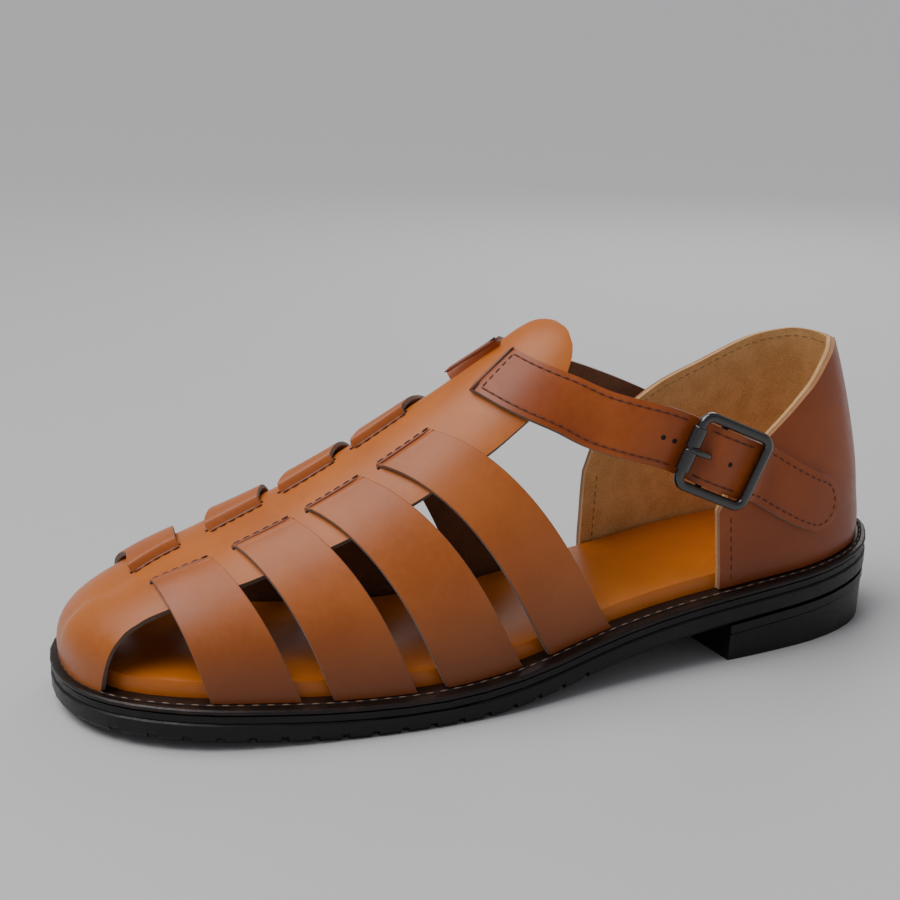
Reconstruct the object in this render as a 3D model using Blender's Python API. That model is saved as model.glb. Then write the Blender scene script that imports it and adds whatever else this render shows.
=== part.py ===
"""A left fisherman sandal: a T-bar toe cap with four woven cross straps, a
buckled ankle strap, a closed heel counter, a padded insole and a welted sole
with a stacked heel.

The toe points along -X, the heel along +X, the lateral (buckle) side is -Y
and the medial side +Y. Lengths are in millimetres until a mesh is written.

A place on the sole is a "turn": 0 at the back of the heel, 1 at the tip of the
toe, along a half turn, so that both ends come out round. Its "station" is the
share of the length from the heel. A place on the upper has a turn and a
"climb": 0 at the feather line, where the upper meets the welt, and 1 at the
crest of the instep.
"""

import math

import bmesh
import bpy
import numpy as np

MM = 0.001
LATERAL = -1
MEDIAL = 1

# Driving sizes, in millimetres
LENGTH = 288.0
BALL_WIDTH = 104.0
TOE_SWING = 21.0
HEEL_LIFT = 18.4
TOE_SPRING = 3.4
INSTEP_HEIGHT = 110.0
WELT_LEDGE = 6.0
WELT_THICK = 1.8
MIDSOLE_THICK = 2.1
OUTSOLE_THICK = 6.1
GAP = 0.3
INSOLE_RISE = 5.5
INSOLE_ROUND = 2.6
HEEL_STATION = 0.27
HEEL_INSET = 1.4
HEEL_LINE_DROP = 3.0
TREAD_PITCH = 9.0
TREAD_GROOVE = 2.2
TREAD_DEPTH = 1.0
LEATHER = 2.0
STRAP_OVERLAP = 0.4
COUNTER_WALL = 2.8
COUNTER_HEIGHT = 69.0
COUNTER_LEAN = 9.5
ANKLE_WIDTH = 19.5
ANKLE_CLEARANCE = 0.4
TAB_LEATHER = 1.8
WIRE = 3.3
BUCKLE_LENGTH = 22.0
BUCKLE_CORNER = 3.2
CENTRE_BAR = 2.4
CENTRE_BAR_SHIFT = -3.5
CENTRE_BAR_DROP = 2.6
PRONG = 2.1
ROLLER_WALL = 0.5
ROLLER_LENGTH = 15.0
PRONG_HOLE = 3.0
HOLE = 1.3
HOLES = (-22.0, -17.5, 2.5)

STRAP_STEP = 2.4
SOLE = WELT_THICK + MIDSOLE_THICK + OUTSOLE_THICK + 2 * GAP

# Outline of the sole: turn, then half widths as shares of the ball width
OUTLINE = np.array([
    # turn, lateral, medial
    (0.00, 0.000, 0.000),
    (0.08, 0.120, 0.135),
    (0.16, 0.255, 0.245),
    (0.24, 0.335, 0.310),
    (0.32, 0.360, 0.325),
    (0.40, 0.370, 0.303),
    (0.47, 0.405, 0.285),
    (0.54, 0.460, 0.310),
    (0.60, 0.478, 0.365),
    (0.66, 0.470, 0.415),
    (0.72, 0.452, 0.443),
    (0.78, 0.415, 0.435),
    (0.84, 0.342, 0.378),
    (0.90, 0.238, 0.272),
    (0.95, 0.128, 0.145),
    (1.00, 0.000, 0.000),
])

# Side view of the sole: station, share of the heel lift, share of the toe spring
PROFILE = np.array([
    # station, heel, toe
    (0.00, 1.000, 0.00),
    (0.12, 0.850, 0.00),
    (0.27, 0.705, 0.00),
    (0.40, 0.470, 0.00),
    (0.52, 0.130, 0.00),
    (0.60, 0.000, 0.00),
    (0.73, 0.000, 0.00),
    (0.84, 0.000, 0.62),
    (0.93, 0.000, 0.96),
    (1.00, 0.000, 0.94),
])

# Crest of the instep: station, shift to the medial side and height
CREST = np.array([
    # station, share of the ball width, share of the instep height
    (0.400, 0.115, 1.005),
    (0.430, 0.120, 0.990),
    (0.450, 0.123, 0.968),
    (0.475, 0.129, 0.928),
    (0.530, 0.140, 0.830),
    (0.588, 0.154, 0.740),
    (0.645, 0.167, 0.653),
    (0.729, 0.181, 0.541),
    (0.813, 0.188, 0.451),
    (0.900, 0.187, 0.366),
    (0.935, 0.182, 0.313),
])

# Ledge of the welt outside the upper: turn, share of the welt ledge
LEDGE = np.array([
    (0.00, 0.42),
    (0.15, 0.67),
    (0.35, 1.00),
    (0.75, 1.00),
    (0.90, 0.75),
    (1.00, 0.80),
])

# Fullness of the arch across the last, 1 for an ellipse and less for a fuller arch
FULLNESS = np.array([
    # turn, lateral width, lateral height, medial width, medial height
    (0.00, 1.00, 1.00, 0.80, 0.80),
    (0.60, 1.00, 1.00, 0.80, 0.80),
    (0.71, 0.95, 0.95, 0.80, 0.80),
    (0.82, 0.85, 0.80, 1.00, 1.05),
    (1.00, 0.85, 0.66, 0.96, 1.08),
])
BULGE = 1.5

# Edge of the toe cap, the spine and the tongue tab: turn, then the climb of each
# edge. A medial climb above 1 lies that far down the lateral side of the crest.
CAP_EDGE = np.array([
    # turn, lateral, medial
    (0.4470, 0.835, 1.130),
    (0.4485, 0.785, 1.085),
    (0.4520, 0.735, 1.040),
    (0.4580, 0.690, 0.980),
    (0.4650, 0.650, 0.900),
    (0.4750, 0.630, 0.830),
    (0.4850, 0.620, 0.750),
    (0.5100, 0.610, 0.640),
    (0.6000, 0.600, 0.600),
    (0.7000, 0.600, 0.600),
    (0.7700, 0.580, 0.580),
    (0.8100, 0.555, 0.555),
    (0.8450, 0.500, 0.500),
    (0.8720, 0.400, 0.400),
    (0.8900, 0.240, 0.240),
    (0.8990, 0.080, 0.080),
    (0.9030, 0.000, 0.000),
])

# Cross straps: stations of the front and rear edge at the slit and at the feather line,
# and how much further forward the medial slit lies
CROSS_STRAPS = {
    # name: slit front, slit rear, foot front, foot rear, medial shift
    "strap_1": (0.922, 0.845, 0.880, 0.788, 0.022),
    "strap_2": (0.814, 0.747, 0.754, 0.664, 0.011),
    "strap_3": (0.728, 0.666, 0.630, 0.537, 0.007),
    "strap_4": (0.645, 0.584, 0.502, 0.421, 0.005),
}
SPINE_EDGE = 0.60
SLIT_CLIMB = {LATERAL: 0.81, MEDIAL: 0.965}
STRAP_BOW = 0.9

# Top line of the counter: turn, share of the counter height
COUNTER_LATERAL = np.array([
    (0.000, 0.97),
    (0.060, 0.985),
    (0.120, 0.975),
    (0.180, 0.930),
    (0.216, 0.865),
    (0.250, 0.800),
    (0.276, 0.735),
    (0.306, 0.640),
    (0.335, 0.505),
    (0.352, 0.380),
])
COUNTER_MEDIAL = np.array([
    (0.000, 0.97),
    (0.075, 1.00),
    (0.178, 1.035),
    (0.238, 1.015),
    (0.301, 0.92),
    (0.356, 0.81),
    (0.385, 0.69),
    (0.399, 0.57),
    (0.404, 0.45),
])

# Lean of the counter: share of the counter height, share of the counter lean
LEAN = np.array([
    (0.00, 0.00),
    (0.09, 0.00),
    (0.20, 0.08),
    (0.35, 0.18),
    (0.60, 0.50),
    (0.85, 0.93),
    (1.05, 1.36),
])

# Ankle strap on the counter: turn, share of the counter height, extra lift
TAB_LINE = np.array([
    (0.205, 0.255, 0.0),
    (0.250, 0.335, 0.0),
    (0.285, 0.435, 0.2),
    (0.310, 0.520, 0.7),
    (0.335, 0.600, 2.2),
])

# Ankle strap across the tongue: side, station, climb, whether it runs over the tongue
THREAD_LINE = (
    (MEDIAL, 0.457, 0.57, True),
    (MEDIAL, 0.467, 0.64, True),
    (MEDIAL, 0.477, 0.71, True),
    (MEDIAL, 0.487, 0.78, True),
    (MEDIAL, 0.496, 0.86, True),
    (MEDIAL, 0.503, 0.94, True),
    (LATERAL, 0.506, 0.99, False),
    (LATERAL, 0.504, 0.93, False),
    (LATERAL, 0.500, 0.85, True),
    (LATERAL, 0.494, 0.79, True),
    (LATERAL, 0.486, 0.73, True),
    (LATERAL, 0.469, 0.648, True),
    (LATERAL, 0.451, 0.583, True),
)

# Ankle strap between the tongue and the counter, on the inner face of the leather:
# station, share of the ball width, share of the instep height
FREE_MEDIAL = ((0.400, 0.272, 0.772),)
FREE_LATERAL = ((0.425, -0.205, 0.772), (0.392, -0.258, 0.742))

# Middle of the buckle: station, share of the ball width, share of the instep height
BUCKLE_PLACE = (0.2927, -0.361, 0.638)
BUCKLE_SLOPE = 25.0
BUCKLE_YAW = 8.3


def curve(table, column, at):
    """A smooth curve through the rows of a table."""
    places, values = table[:, 0], table[:, column]
    at = np.clip(np.asarray(at, float), places[0], places[-1])
    steps = np.diff(places)
    slopes = np.diff(values) / steps
    tangents = np.empty(len(values))
    tangents[0], tangents[-1] = slopes[0], slopes[-1]
    tangents[1:-1] = (slopes[:-1] * steps[1:] + slopes[1:] * steps[:-1]) / (steps[:-1] + steps[1:])
    row = np.clip(np.searchsorted(places, at, side="right") - 1, 0, len(places) - 2)
    share = (at - places[row]) / steps[row]
    square, cube = share**2, share**3
    return (
        (2 * cube - 3 * square + 1) * values[row]
        + (cube - 2 * square + share) * steps[row] * tangents[row]
        + (3 * square - 2 * cube) * values[row + 1]
        + (cube - square) * steps[row] * tangents[row + 1]
    )


def line(table, column, at):
    """Straight runs through the rows of a table."""
    return np.interp(at, table[:, 0], table[:, column])


def station_of(turn):
    return 0.5 - 0.5 * np.cos(np.pi * np.asarray(turn, float))


def turn_of(station):
    return np.arccos(1 - 2 * np.asarray(station, float)) / np.pi


def outline(side, turn, inset=0.0):
    """Plan of the sole's edge, moved inwards by an inset along its own normal."""
    turn = np.asarray(turn, float)

    def edge(place):
        station = station_of(place)
        swing = TOE_SWING * np.clip((station - 0.2) / 0.8, 0, 1) ** 1.7
        half = curve(OUTLINE, 1 if side == LATERAL else 2, place) * BALL_WIDTH
        return np.stack([LENGTH * (0.5 - station), side * half + swing], -1)

    small = 1e-4
    along = edge(np.clip(turn + small, 0, 1)) - edge(np.clip(turn - small, 0, 1))
    along /= np.linalg.norm(along, axis=-1, keepdims=True)
    outward = side * np.stack([along[..., 1], -along[..., 0]], -1)
    at_heel, at_toe = (turn <= 1e-6)[..., None], (turn >= 1 - 1e-6)[..., None]
    outward = np.where(at_heel, [1.0, 0.0], np.where(at_toe, [-1.0, 0.0], outward))
    return edge(turn) - outward * np.asarray(inset, float)[..., None]


def middle_of_width():
    """Where the middle of the sole's width lies, which becomes the model's own middle."""
    turns = np.linspace(0, 1, 400)
    return (outline(LATERAL, turns)[:, 1].min() + outline(MEDIAL, turns)[:, 1].max()) / 2


def welt_top(station):
    """Height of the welt's upper face above the ground."""
    return SOLE + HEEL_LIFT * curve(PROFILE, 1, station) + TOE_SPRING * curve(PROFILE, 2, station)


def sole_bottom(station):
    """Height of the outsole's lower face, flat where the ball stands on the ground."""
    return np.maximum(welt_top(station) - SOLE, 0.0)


MIDDLE = np.array([0.0, middle_of_width(), 0.0])


def ledge(turn):
    return WELT_LEDGE * curve(LEDGE, 1, turn)


def crest(station):
    return np.stack([
        LENGTH * (0.5 - station),
        BALL_WIDTH * curve(CREST, 1, station),
        INSTEP_HEIGHT * curve(CREST, 2, station),
    ], -1)


def crest_station(turn):
    """Sections fan out round the toe, so the crest ends short of the tip."""
    station = station_of(turn)
    return np.where(station > 0.75, station - 1.04 * (station - 0.75) ** 2, station)


def bare_last(side, turn, climb):
    foot = outline(side, turn, ledge(turn))
    foot_height = welt_top(station_of(turn)) + GAP
    top = crest(crest_station(turn))
    first = 1 if side == LATERAL else 3
    angle = climb * math.pi / 2
    width = np.cos(angle) ** line(FULLNESS, first, turn)
    height = np.sin(angle) ** line(FULLNESS, first + 1, turn)
    out = foot - top[..., :2]
    unit = out / np.linalg.norm(out, axis=-1, keepdims=True)
    bulge = BULGE * np.sin(math.pi * np.clip(climb / 0.6, 0, 1)) ** 2
    plan = top[..., :2] + out * width[..., None] + unit * bulge[..., None]
    rise = foot_height + (top[..., 2] - foot_height) * height
    return np.concatenate([plan, rise[..., None]], -1)


def last_normal(side, turn, climb):
    small = 1e-3
    low = np.clip(climb, 0.004, 0.985)
    before, after = np.clip(turn - small, 0, 1), np.clip(turn + small, 0, 1)
    forward = bare_last(side, after, low) - bare_last(side, before, low)
    upward = bare_last(side, turn, low + small) - bare_last(side, turn, low - small)
    normal = np.cross(forward, upward) * side
    return normal / np.linalg.norm(normal, axis=-1, keepdims=True)


def last(side, turn, climb, lift):
    """A point on the last, lifted off it along its normal."""
    turn, climb, lift = np.broadcast_arrays(*(np.asarray(v, float) for v in (turn, climb, lift)))
    normal = last_normal(side, turn, climb)
    near = np.clip((climb - 0.93) / 0.07, 0, 1)[..., None]
    other = last_normal(-side, turn, climb)
    normal = normal * (1 - 0.5 * near) + other * 0.5 * near
    seam = np.clip((turn - 0.97) / 0.03, 0, 1)[..., None]
    normal = normal * (1 - 0.5 * seam) + other * 0.5 * seam
    normal /= np.linalg.norm(normal, axis=-1, keepdims=True)
    return bare_last(side, turn, climb) + normal * lift[..., None]


def counter_wall(side, turn, height, lift=0.0):
    """A point on the outer face of the counter, lifted off it."""
    turn, height, lift = np.broadcast_arrays(*(np.asarray(v, float) for v in (turn, height, lift)))
    lean = COUNTER_LEAN * curve(LEAN, 1, height / COUNTER_HEIGHT)
    plan = outline(side, turn, ledge(turn) + lean - lift)
    rise = welt_top(station_of(turn)) + GAP + height
    return np.concatenate([plan, rise[..., None]], -1)


def counter_normal(side, turn, height):
    """Direction straight out of the counter's outer face."""
    forward = counter_wall(side, turn + 0.003, height) - counter_wall(side, turn - 0.003, height)
    upward = counter_wall(side, turn, height + 1) - counter_wall(side, turn, height - 1)
    normal = np.cross(forward, upward) * side
    return normal / np.linalg.norm(normal)


def material(name, colour, roughness, metallic=0.0):
    made = bpy.data.materials.new(name)
    made.use_nodes = True
    shader = made.node_tree.nodes["Principled BSDF"]
    shader.inputs["Base Color"].default_value = (*colour, 1.0)
    shader.inputs["Roughness"].default_value = roughness
    shader.inputs["Metallic"].default_value = metallic
    made.diffuse_color = (*colour, 1.0)
    return made


def write_object(name, work, look):
    """Welds, orients and links a bmesh as one named object."""
    bmesh.ops.remove_doubles(work, verts=work.verts, dist=0.00002)
    bmesh.ops.dissolve_degenerate(work, edges=work.edges, dist=0.00002)
    bmesh.ops.recalc_face_normals(work, faces=work.faces)
    mesh = bpy.data.meshes.new(name)
    work.to_mesh(mesh)
    work.free()
    mesh.shade_smooth()
    mesh.set_sharp_from_angle(angle=math.radians(35))
    mesh.materials.append(look)
    made = bpy.data.objects.new(name, mesh)
    bpy.context.scene.collection.objects.link(made)
    return made


def add_grid(work, points, wrap=False):
    """Adds a grid of points with its quads, and returns the grid of vertices."""
    grid = [[work.verts.new((point - MIDDLE) * MM) for point in row] for row in points]
    columns = len(grid[0])
    for row, after in zip(grid, grid[1:]):
        for j in range(columns if wrap else columns - 1):
            k = (j + 1) % columns
            work.faces.new((row[j], row[k], after[k], after[j]))
    return grid


def bridge_lines(work, first, second):
    for a, b, c, d in zip(first, first[1:], second[1:], second):
        work.faces.new((a, b, c, d))


def slab(name, outer, inner, look):
    """A sheet with thickness: two grids joined along their four edges."""
    work = bmesh.new()
    top, under = add_grid(work, outer), add_grid(work, inner)
    for pick in (
        lambda grid: grid[0],
        lambda grid: grid[-1],
        lambda grid: [row[0] for row in grid],
        lambda grid: [row[-1] for row in grid],
    ):
        bridge_lines(work, pick(top), pick(under))
    return write_object(name, work, look)


def tube(name, loops, look, closed=False):
    """Loops of points joined in turn, as a closed ring or with flat ends."""
    work = bmesh.new()
    loops = list(loops) + ([loops[0]] if closed else [])
    grid = add_grid(work, loops, wrap=True)
    if not closed:
        work.faces.new(grid[0])
        work.faces.new(grid[-1])
    return write_object(name, work, look)


def edge_loop(turns, inset, height):
    """The sole's edge as one loop: lateral side to the toe, then back medially."""
    station = station_of(turns)
    sides = []
    for side in (LATERAL, MEDIAL):
        plan = outline(side, turns, inset)
        sides.append(np.concatenate([plan, height(station)[:, None]], -1))
    return sides


def layered(name, turns, rings, look, hollow=None):
    """Rings of the outline stacked from bottom to top. The first and last ring
    are closed by rungs that join the lateral to the medial edge."""
    work = bmesh.new()
    rows = []
    for inset, height in rings:
        lateral, medial = edge_loop(turns, inset, height)
        ring = np.concatenate([lateral, medial[::-1]])
        rows.append([work.verts.new((point - MIDDLE) * MM) for point in ring])
    count = len(turns)
    if hollow is not None:
        rows.append(rows[0])
    for low, high in zip(rows, rows[1:]):
        for j in range(2 * count):
            k = (j + 1) % (2 * count)
            work.faces.new((low[j], low[k], high[k], high[j]))
    if hollow is None:
        for row in (rows[0], rows[-1]):
            for i in range(count - 1):
                far = 2 * count - 1 - i
                work.faces.new((row[i], row[i + 1], row[far - 1], row[far]))
    return write_object(name, work, look)


def build_welt(look):
    turns = np.linspace(0, 1, 35)
    inner = ledge(turns) + COUNTER_WALL
    rings = [
        (0.6 + 0 * turns, lambda s: welt_top(s) - WELT_THICK),
        (0 * turns, lambda s: welt_top(s) - WELT_THICK + 0.5),
        (0 * turns, lambda s: welt_top(s) - 0.4),
        (0.5 + 0 * turns, welt_top),
        (inner, welt_top),
        (inner, lambda s: welt_top(s) - WELT_THICK),
    ]
    return layered("welt", turns, rings, look, hollow=True)


def build_midsole(look):
    turns = np.linspace(0, 1, 35)
    top = WELT_THICK + GAP
    rings = [
        (0.5 + 0 * turns, lambda s: welt_top(s) - top - MIDSOLE_THICK),
        (0.5 + 0 * turns, lambda s: welt_top(s) - top),
    ]
    return layered("midsole", turns, rings, look)


def tread_turns():
    """Turns at both edges of each groove across the forefoot, after plain turns at the back."""
    plain = np.linspace(0, float(turn_of(0.46)), 18)[:-1]
    starts = np.arange(0.46 * LENGTH, 0.965 * LENGTH, TREAD_PITCH)
    edges = np.ravel([(a, a + 0.3, a + TREAD_GROOVE, a + TREAD_GROOVE + 0.3) for a in starts])
    tip = np.linspace(float(turn_of(edges[-1] / LENGTH)), 1, 5)[1:]
    return np.concatenate([plain, turn_of(edges / LENGTH), tip])


def tread(station):
    """Rise of the outsole's lower face inside a groove."""
    place = (station - 0.46) * LENGTH
    inside = np.mod(place, TREAD_PITCH)
    groove = (inside > 0.15) & (inside < TREAD_GROOVE + 0.15)
    here = groove & (place > 0) & (station < 0.972)
    return np.where(here, TREAD_DEPTH, 0.0)


def build_outsole(look):
    turns = tread_turns()
    flat = 0 * turns
    side = sole_bottom
    rings = [
        (1.2 + flat, lambda s: side(s) + tread(s)),
        (0.1 + flat, lambda s: side(s) + tread(s) + 1.2),
        (flat, lambda s: side(s) + OUTSOLE_THICK - 0.5),
        (0.5 + flat, lambda s: welt_top(s) - SOLE + OUTSOLE_THICK),
    ]
    return layered("outsole", turns, rings, look)


def build_heel(look):
    turns = np.linspace(0, float(turn_of(HEEL_STATION)), 15)
    inset = 0 * turns

    def top(station):
        return welt_top(station) - SOLE - GAP

    rings = [
        (HEEL_INSET + inset, lambda s: 0 * s),
        (HEEL_INSET * 0.5 + inset, lambda s: top(s) - HEEL_LINE_DROP - 0.5),
        (HEEL_INSET * 0.5 + 0.5 + inset, lambda s: top(s) - HEEL_LINE_DROP - 0.25),
        (0.3 + inset, lambda s: top(s) - HEEL_LINE_DROP),
        (0.3 + inset, top),
    ]
    return layered("heel", turns, rings, look)


def build_insole(look):
    turns = np.linspace(0, 1, 33)
    edge = ledge(turns) + COUNTER_WALL + GAP
    rings = [
        (edge, lambda s: welt_top(s) - WELT_THICK),
        (edge, lambda s: welt_top(s) + INSOLE_RISE - INSOLE_ROUND),
        (edge + 0.3 * INSOLE_ROUND, lambda s: welt_top(s) + INSOLE_RISE - 0.3 * INSOLE_ROUND),
        (edge + INSOLE_ROUND, lambda s: welt_top(s) + INSOLE_RISE),
    ]
    return layered("insole", turns, rings, look)


def over_crest(turn, across, lift):
    """A point on the last by its way across: 0 to 1 up the lateral side, 1 to 2 down the medial side."""
    lateral = last(LATERAL, turn, np.clip(across, 0, 1), lift)
    medial = last(MEDIAL, turn, np.clip(2 - across, 0, 1), lift)
    return np.where(across[:, None] <= 1, lateral, medial)


def build_cap(look):
    """Toe cap, spine and tongue tab, cut from one piece of leather."""
    turns = np.concatenate([
        CAP_EDGE[:6, 0],
        np.linspace(CAP_EDGE[6, 0], CAP_EDGE[10, 0], 13),
        [0.79, 0.81, 0.83, 0.845, 0.859, 0.872, 0.881, 0.890, 0.895, 0.899, 0.903],
        np.linspace(0.92, 1, 6),
    ])
    share = np.linspace(0, 1, 17)
    rows = {}
    for lift in (LEATHER, 0.0):
        grid = []
        for turn in turns:
            first = float(line(CAP_EDGE, 1, turn))
            end = 2 - float(line(CAP_EDGE, 2, turn))
            grid.append(over_crest(turn, first + (end - first) * share, lift))
        grid[-1] = (grid[-1] + grid[-1][::-1]) / 2
        rows[lift] = np.array(grid)
    return closed_toe_slab("upper", rows[LEATHER], rows[0.0], look)


def closed_toe_slab(name, outer, inner, look):
    """A sheet whose last row folds back on itself and is welded at the tip of the toe."""
    work = bmesh.new()
    top, under = add_grid(work, outer), add_grid(work, inner)
    bridge_lines(work, top[0], under[0])
    bridge_lines(work, [row[0] for row in top], [row[0] for row in under])
    bridge_lines(work, [row[-1] for row in top], [row[-1] for row in under])
    return write_object(name, work, look)


def strap_lifts(climb, side):
    """Lifts of a cross strap's two faces: on the last, over the spine, then down into its slit."""
    slit = SLIT_CLIMB[side]
    over = LEATHER - STRAP_OVERLAP
    places = [0.0, SPINE_EDGE - 0.11, SPINE_EDGE - 0.02, slit, slit + 0.025]
    inner = np.interp(climb, places, [0.0, 0.03, over, over, 0.2 * LEATHER])
    outer = np.interp(climb, places, [LEATHER, LEATHER, over + LEATHER, over + LEATHER, 0.8 * LEATHER])
    return float(inner), float(outer)


def build_strap(name, side, stations, look):
    slit = SLIT_CLIMB[side]
    end = slit + 0.03
    climbs = np.concatenate([
        np.linspace(0, 0.50, 8),
        [0.54, 0.58],
        np.linspace(0.64, slit, 4),
        [slit + 0.012, end],
    ])
    slit_front, slit_rear, foot_front, foot_rear, medial_shift = stations
    if side == MEDIAL:
        slit_front, slit_rear = slit_front + medial_shift, slit_rear + medial_shift
    outer, inner = [], []
    for climb in climbs:
        share = min(climb / slit, 1.0) ** STRAP_BOW
        front = foot_front + (slit_front - foot_front) * share
        rear = foot_rear + (slit_rear - foot_rear) * share
        turns = turn_of(np.linspace(front, rear, 4))
        low, high = strap_lifts(climb, side)
        outer.append(last(side, turns, climb, high))
        inner.append(last(side, turns, climb, low))
    return slab(name, np.array(outer), np.array(inner), look)


def settle(target, look):
    """Makes the joins and cuts of an object real, as one body without loose slivers."""
    bpy.context.view_layer.update()
    graph = bpy.context.evaluated_depsgraph_get()
    mesh = bpy.data.meshes.new_from_object(target.evaluated_get(graph))
    work = bmesh.new()
    work.from_mesh(mesh)
    bmesh.ops.remove_doubles(work, verts=work.verts, dist=0.00002)
    left, bodies = set(work.verts), []
    while left:
        edge, body = [left.pop()], []
        while edge:
            vertex = edge.pop()
            body.append(vertex)
            near = {link.other_vert(vertex) for link in vertex.link_edges} & left
            left -= near
            edge.extend(near)
        bodies.append(body)
    bodies.sort(key=len)
    for body in bodies[:-1]:
        bmesh.ops.delete(work, geom=body, context="VERTS")
    target.modifiers.clear()
    name = target.name
    bpy.data.objects.remove(target)
    return write_object(name, work, look)


def union(target, helpers):
    for helper in helpers:
        join = target.modifiers.new(helper.name, "BOOLEAN")
        join.operation = "UNION"
        join.solver = "EXACT"
        join.object = helper
        helper.hide_render = True
        helper.display_type = "WIRE"


def build_counter(look):
    lateral = np.linspace(0, COUNTER_LATERAL[-1, 0], 17)
    medial = np.linspace(0, COUNTER_MEDIAL[-1, 0], 19)
    share = np.linspace(0, 1, 9)
    outer, inner = [], []
    for side, turns, table in (
        (MEDIAL, medial[::-1], COUNTER_MEDIAL),
        (LATERAL, lateral[1:], COUNTER_LATERAL),
    ):
        for turn in turns:
            heights = share * COUNTER_HEIGHT * float(curve(table, 1, turn))
            outer.append(counter_wall(side, turn, heights))
            inner.append(counter_wall(side, turn, heights, -COUNTER_WALL))
    return slab("counter", np.array(outer), np.array(inner), look)


def ribbon(name, path, normals, low, high, half_widths, look, keep=slice(None), columns=3):
    """A flat strip along a path, its faces at two lifts along the normals."""
    along = np.gradient(path, axis=0)
    across = np.cross(normals, along)
    across /= np.linalg.norm(across, axis=1, keepdims=True)
    for _ in range(6):
        padded = np.concatenate([across[:1], across, across[-1:]])
        across = padded[:-2] + padded[1:-1] + padded[2:]
        across /= np.linalg.norm(across, axis=1, keepdims=True)
    shares = np.linspace(-1, 1, columns)
    spread = across[:, None] * (half_widths[:, None] * shares[None])[..., None]
    base = path[:, None] + spread
    outer = base + (normals * np.reshape(high, (-1, 1)))[:, None]
    inner = base + (normals * np.reshape(low, (-1, 1)))[:, None]
    return slab(name, outer[keep], inner[keep], look)


def smooth_path(points, normals, step):
    """Evenly spaced points of a smooth curve through the given ones, with their normals."""
    chord = np.concatenate([[0], np.cumsum(np.linalg.norm(np.diff(points, axis=0), axis=1))])
    table = np.concatenate([chord[:, None], points, normals], 1)
    count = max(2, int(round(chord[-1] / step)) + 1)
    at = np.linspace(0, chord[-1], count)
    place = np.stack([curve(table, c, at) for c in (1, 2, 3)], -1)
    facing = np.stack([curve(table, c, at) for c in (4, 5, 6)], -1)
    facing /= np.linalg.norm(facing, axis=1, keepdims=True)
    return place, facing, at


def round_tab(distance, half):
    """Half width of a strap that ends in a half circle, at a distance from its tip."""
    inside = np.clip(1 - distance / half, 0, 1)
    return half * np.maximum(np.sqrt(1 - inside**2), 0.25)


def place_of(station, side_share, height_share):
    return np.array([
        LENGTH * (0.5 - station), BALL_WIDTH * side_share, INSTEP_HEIGHT * height_share,
    ])


def buckle_axes():
    """Axes of the buckle: along the strap to the heel, outwards, and across."""
    slope, yaw = math.radians(BUCKLE_SLOPE), math.radians(BUCKLE_YAW)
    outward = np.array([-math.sin(yaw), -math.cos(yaw), 0.0])
    level = np.array([math.cos(yaw), -math.sin(yaw), 0.0])
    along = level * math.cos(slope) + np.array([0, 0, -math.sin(slope)])
    return along, outward, np.cross(outward, along)


def in_buckle(along, outward, across=0.0):
    """A point given by its distances from the middle of the buckle."""
    axes = buckle_axes()
    return place_of(*BUCKLE_PLACE) + along * axes[0] + outward * axes[1] + across * axes[2]


BAR_REACH = (BUCKLE_LENGTH + WIRE) / 2
FRAME_REACH = (ANKLE_WIDTH + 1.0 + WIRE) / 2
ROLLER_RADIUS = WIRE / 2 + GAP + ROLLER_WALL


def strap_in_buckle():
    """The strap's inner face: under the roller, over the centre bar, under the heel bar."""
    under_roller = -ROLLER_RADIUS - GAP - LEATHER
    over_centre = -CENTRE_BAR_DROP + CENTRE_BAR / 2 + GAP
    under_heel_bar = -WIRE / 2 - GAP - LEATHER
    return [
        (-BAR_REACH - 6.0, under_roller),
        (-BAR_REACH, under_roller),
        (-BAR_REACH + 3.0, under_roller + 0.6),
        (CENTRE_BAR_SHIFT, over_centre),
        (CENTRE_BAR_SHIFT + 4.0, over_centre),
        (BAR_REACH - 3.5, under_heel_bar + 0.4),
        (BAR_REACH, under_heel_bar),
        (BAR_REACH + 1.2, under_heel_bar),
    ]


def ankle_path():
    """Control points of the strap's inner face from its sewn medial end to the buckle."""
    points, normals = [], []

    def add(point, normal):
        points.append(point)
        normals.append(normal / np.linalg.norm(normal))

    for turn, share, extra in TAB_LINE:
        height = share * COUNTER_HEIGHT
        normal = counter_normal(MEDIAL, turn, height)
        add(counter_wall(MEDIAL, turn, height) + normal * (ANKLE_CLEARANCE + extra), normal)
    for station, side_share, height_share in FREE_MEDIAL:
        add(place_of(station, side_share, height_share), np.array([0.0, 1.0, 0.12]))
    top = last_normal(LATERAL, turn_of(0.5), np.array(1.0))
    for side, station, climb, over in THREAD_LINE:
        turn = turn_of(station)
        lift = (LEATHER + 1.5 * ANKLE_CLEARANCE) * (1 if over else -1)
        here = last(side, turn, climb, lift)
        add(here, top if climb > 0.82 else last(side, turn, climb, lift + 1) - here)
    for station, side_share, height_share in FREE_LATERAL:
        add(place_of(station, side_share, height_share), np.array([-0.12, -1.0, 0.30]))
    outward = buckle_axes()[1]
    for along, out in strap_in_buckle():
        add(in_buckle(along, out), outward)
    return np.array(points), np.array(normals)


def build_ankle_strap(look):
    points, normals = ankle_path()
    place, facing, at = smooth_path(points, normals, STRAP_STEP)
    half = round_tab(at, ANKLE_WIDTH / 2)
    strap = ribbon("ankle_strap", place, facing, 0.0, LEATHER, half, look)
    for number, along in enumerate((CENTRE_BAR_SHIFT - CENTRE_BAR / 2 - GAP - PRONG / 2, *HOLES)):
        radius = (PRONG_HOLE if number == 0 else HOLE) / 2
        cut(strap, rod(f"hole_{number}", [in_buckle(along, out) for out in (-12, 6)], radius, look, 10))
    return strap


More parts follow.
